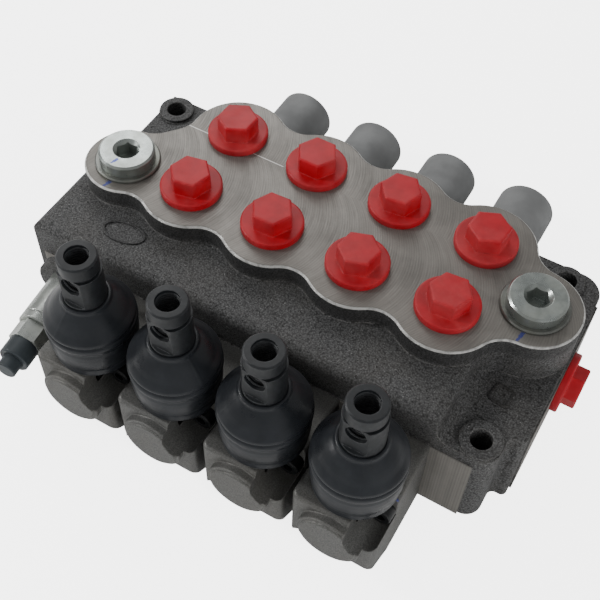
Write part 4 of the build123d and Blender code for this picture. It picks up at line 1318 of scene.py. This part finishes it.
@dataclass
class LeverUnit:
    """One lever: its box, pin, stub, threads and boot.

    Attributes:
        number: its section from the left.
        x: its place.
        seam: the direction of its boot's parting line, in degrees.
        top_z: the height of the stub's top.
        side_z: the height of the front hole.
        flat_y: the face of the front flat.
        lead_in: how far below the top the upper thread starts.
        side_lead_in: how far behind the flat the front thread starts.
        top_thread: the upper thread.
        side_thread: the front thread.
        smooth_below: thread edges blunter than this angle in degrees are shaded smooth.
    """

    number: int
    x: float
    seam: float
    top_z: float = 93.6 * MM
    side_z: float = 82.0 * MM
    flat_y: float = -92.4 * MM
    lead_in: float = 0.7 * MM
    side_lead_in: float = 0.4 * MM
    top_thread: ThreadCrest = field(
        default_factory=lambda: ThreadCrest(4.5 * MM, 1.25 * MM, 12.5 * MM, 0.42 * MM)
    )
    side_thread: ThreadCrest = field(
        default_factory=lambda: ThreadCrest(4.0 * MM, 1.25 * MM, 7.0 * MM, 0.4 * MM)
    )
    smooth_below: float = 30.0

    def build(self, book: FinishBook) -> None:
        """Dress the solids and build the soft and fine pieces.

        Args:
            book: the finishes.
        """
        dress(f"lever_box_{self.number}", book.marked_box if self.number == SECTIONS else book.box)
        dress(f"lever_{self.number}", book.lever)
        dress(f"lever_pin_{self.number}", book.ground)
        RubberBoot().build(self.number, self.x, self.seam, book.boot)
        self.threads(book)

    def threads(self, book: FinishBook) -> None:
        """Build the crests of both tapped holes.

        Args:
            book: the finishes.
        """
        top_at = Matrix.Translation((self.x, LEVER_Y, self.top_z - self.lead_in))
        side_at = Matrix.Translation((self.x, self.flat_y + self.side_lead_in, self.side_z))
        inwards = Matrix.Rotation(math.radians(90), 4, "X")
        threads = {"top": (self.top_thread, top_at), "front": (self.side_thread, side_at @ inwards)}
        for name, (thread, place) in threads.items():
            mesh = thread.ridge()
            bmesh.ops.transform(mesh, matrix=place, verts=mesh.verts)
            piece = as_piece(mesh, f"lever_{name}_thread_{self.number}", book.lever, self.smooth_below)
            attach(piece, f"lever_assembly_{self.number}")


@dataclass
class SpoolUnit:
    """One spool with its tail screw, centring pack and end cap.

    Attributes:
        number: its section from the left.
    """

    number: int

    def build(self, book: FinishBook) -> None:
        """Dress the spool's solids.

        Args:
            book: the finishes.
        """
        dress(f"spool_{self.number}", book.ground)
        dress(f"tail_screw_{self.number}", book.screw)
        dress(f"spool_cap_{self.number}", book.cap)
        dress(f"centring_spring_pack_{self.number}", book.spring)


@dataclass
class ReliefValve:
    """The relief cartridge with its lock nut and cover."""

    def build(self, book: FinishBook) -> None:
        """Dress the cartridge.

        Args:
            book: the finishes.
        """
        for name in ("relief_sleeve", "relief_lock_nut"):
            dress(name, book.relief)
        dress("relief_adjuster", book.screw)
        dress("relief_cap", book.cover)
        dress("relief_poppet", book.ground)
        dress("relief_spring", book.spring)


@dataclass
class SmallParts:
    """Screws, seals and the load check."""

    def build(self, book: FinishBook) -> None:
        """Dress the small parts.

        Args:
            book: the finishes.
        """
        dress("box_screws", book.screw)
        dress("flange_screws", book.screw)
        dress("spool_seals", book.seal)
        dress("check_poppet", book.ground)
        dress("check_spring", book.spring)


@dataclass
class SoftLamp:
    """A large soft lamp aimed at the valve.

    Attributes:
        name: its name.
        place: where it stands.
        size: its width and height.
        power: its power in watts.
        aim: the point it faces.
        mirrored: whether glossy surfaces show it.
    """

    name: str
    place: Point
    size: tuple[float, float]
    power: float
    aim: Point = (0.0, -0.02, 0.03)
    mirrored: bool = True

    def build(self) -> bpy.types.Object:
        """Hang the lamp.

        Returns:
            The lamp.
        """
        light = bpy.data.lights.new(self.name, "AREA")
        light.shape = "RECTANGLE"
        light.size, light.size_y = self.size
        light.energy = self.power
        lamp = bpy.data.objects.new(self.name, light)
        bpy.context.scene.collection.objects.link(lamp)
        lamp.location = self.place
        lamp.visible_glossy = self.mirrored
        lamp.rotation_euler = (Vector(self.aim) - Vector(self.place)).to_track_quat("-Z", "Y").to_euler()
        return lamp


@dataclass
class Studio:
    """Pale floor, soft lamps and the photograph's camera.

    Attributes:
        floor_half: half the floor's width.
        floor_tone: the floor's colour.
        lamps: the lamps.
        sky_strength: how bright the sky is.
        floor_lift: how much the camera's view of the floor is brightened.
        camera_at: the camera's place.
        camera_turn: its turn, in degrees.
        camera_lens: its focal length in millimetres.
    """

    floor_half: float = 2.5
    floor_tone: Colour = srgb(244, 244, 243)
    lamps: tuple[SoftLamp, ...] = (
        SoftLamp("key_left", (-0.74, -0.30, 0.52), (0.10, 0.10), 4.5),
        SoftLamp("back_left", (-0.55, 0.66, 0.72), (0.6, 0.5), 5.0),
        SoftLamp("fill_right", (0.70, -0.35, 0.40), (0.5, 0.4), 4.0, mirrored=False),
        SoftLamp("fill_front", (-0.05, -0.95, 0.30), (0.5, 0.3), 2.6, mirrored=False),
    )
    sky_strength: float = 0.42
    floor_lift: float = 4.0
    camera_at: Point = (0.1138166, -0.2406781, 0.3690679)
    camera_turn: Point = (36.20125, -1.46688, 30.09626)
    camera_lens: float = 60.891

    def build(self) -> None:
        """Set the stage."""
        mesh = bmesh.new()
        bmesh.ops.create_grid(mesh, x_segments=1, y_segments=1, size=self.floor_half)
        data = bpy.data.meshes.new("studio_floor")
        mesh.to_mesh(data)
        mesh.free()
        floor = bpy.data.objects.new("studio_floor", data)
        bpy.context.scene.collection.objects.link(floor)
        floor.data.materials.append(self._paper())
        for lamp in self.lamps:
            lamp.build()
        world = bpy.data.worlds.new("studio_sky")
        world.use_nodes = True
        sky = world.node_tree.nodes["Background"]
        sky.inputs["Color"].default_value = WHITE
        sky.inputs["Strength"].default_value = self.sky_strength
        bpy.context.scene.world = world
        lens = bpy.data.cameras.new("photo_camera")
        lens.lens = self.camera_lens
        camera = bpy.data.objects.new("photo_camera", lens)
        bpy.context.scene.collection.objects.link(camera)
        camera.location = self.camera_at
        camera.rotation_euler = tuple(math.radians(a) for a in self.camera_turn)
        bpy.context.scene.camera = camera

    def _paper(self) -> bpy.types.Material:
        """Make plain pale paper.

        Returns:
            The floor's material.
        """
        paper = bpy.data.materials.new("studio_paper")
        coat = Coat(paper)
        coat.put("Base Color", (*self.floor_tone, 1.0))
        coat.put("Roughness", 0.9)
        coat.put("Specular IOR Level", 0.1)
        coat.put("Emission Color", WHITE)
        seen = coat.add("LightPath").outputs["Is Camera Ray"]
        coat.put("Emission Strength", coat.times(seen, self.floor_lift))
        return paper


def main() -> None:
    """Dress the whole valve."""
    logging.basicConfig(level=logging.INFO, format="%(name)s: %(message)s")
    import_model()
    book = FinishBook()
    Studio().build()
    Monoblock().build(book)
    PortPlugs().build(book)
    SteelPlugs().build(book)
    for number, (x, seam) in enumerate(zip(SECTION_XS, SEAM_TURNS), 1):
        LeverUnit(number, x, seam).build(book)
        SpoolUnit(number).build(book)
    ReliefValve().build(book)
    SmallParts().build(book)


if __name__ == "__main__":
    main()
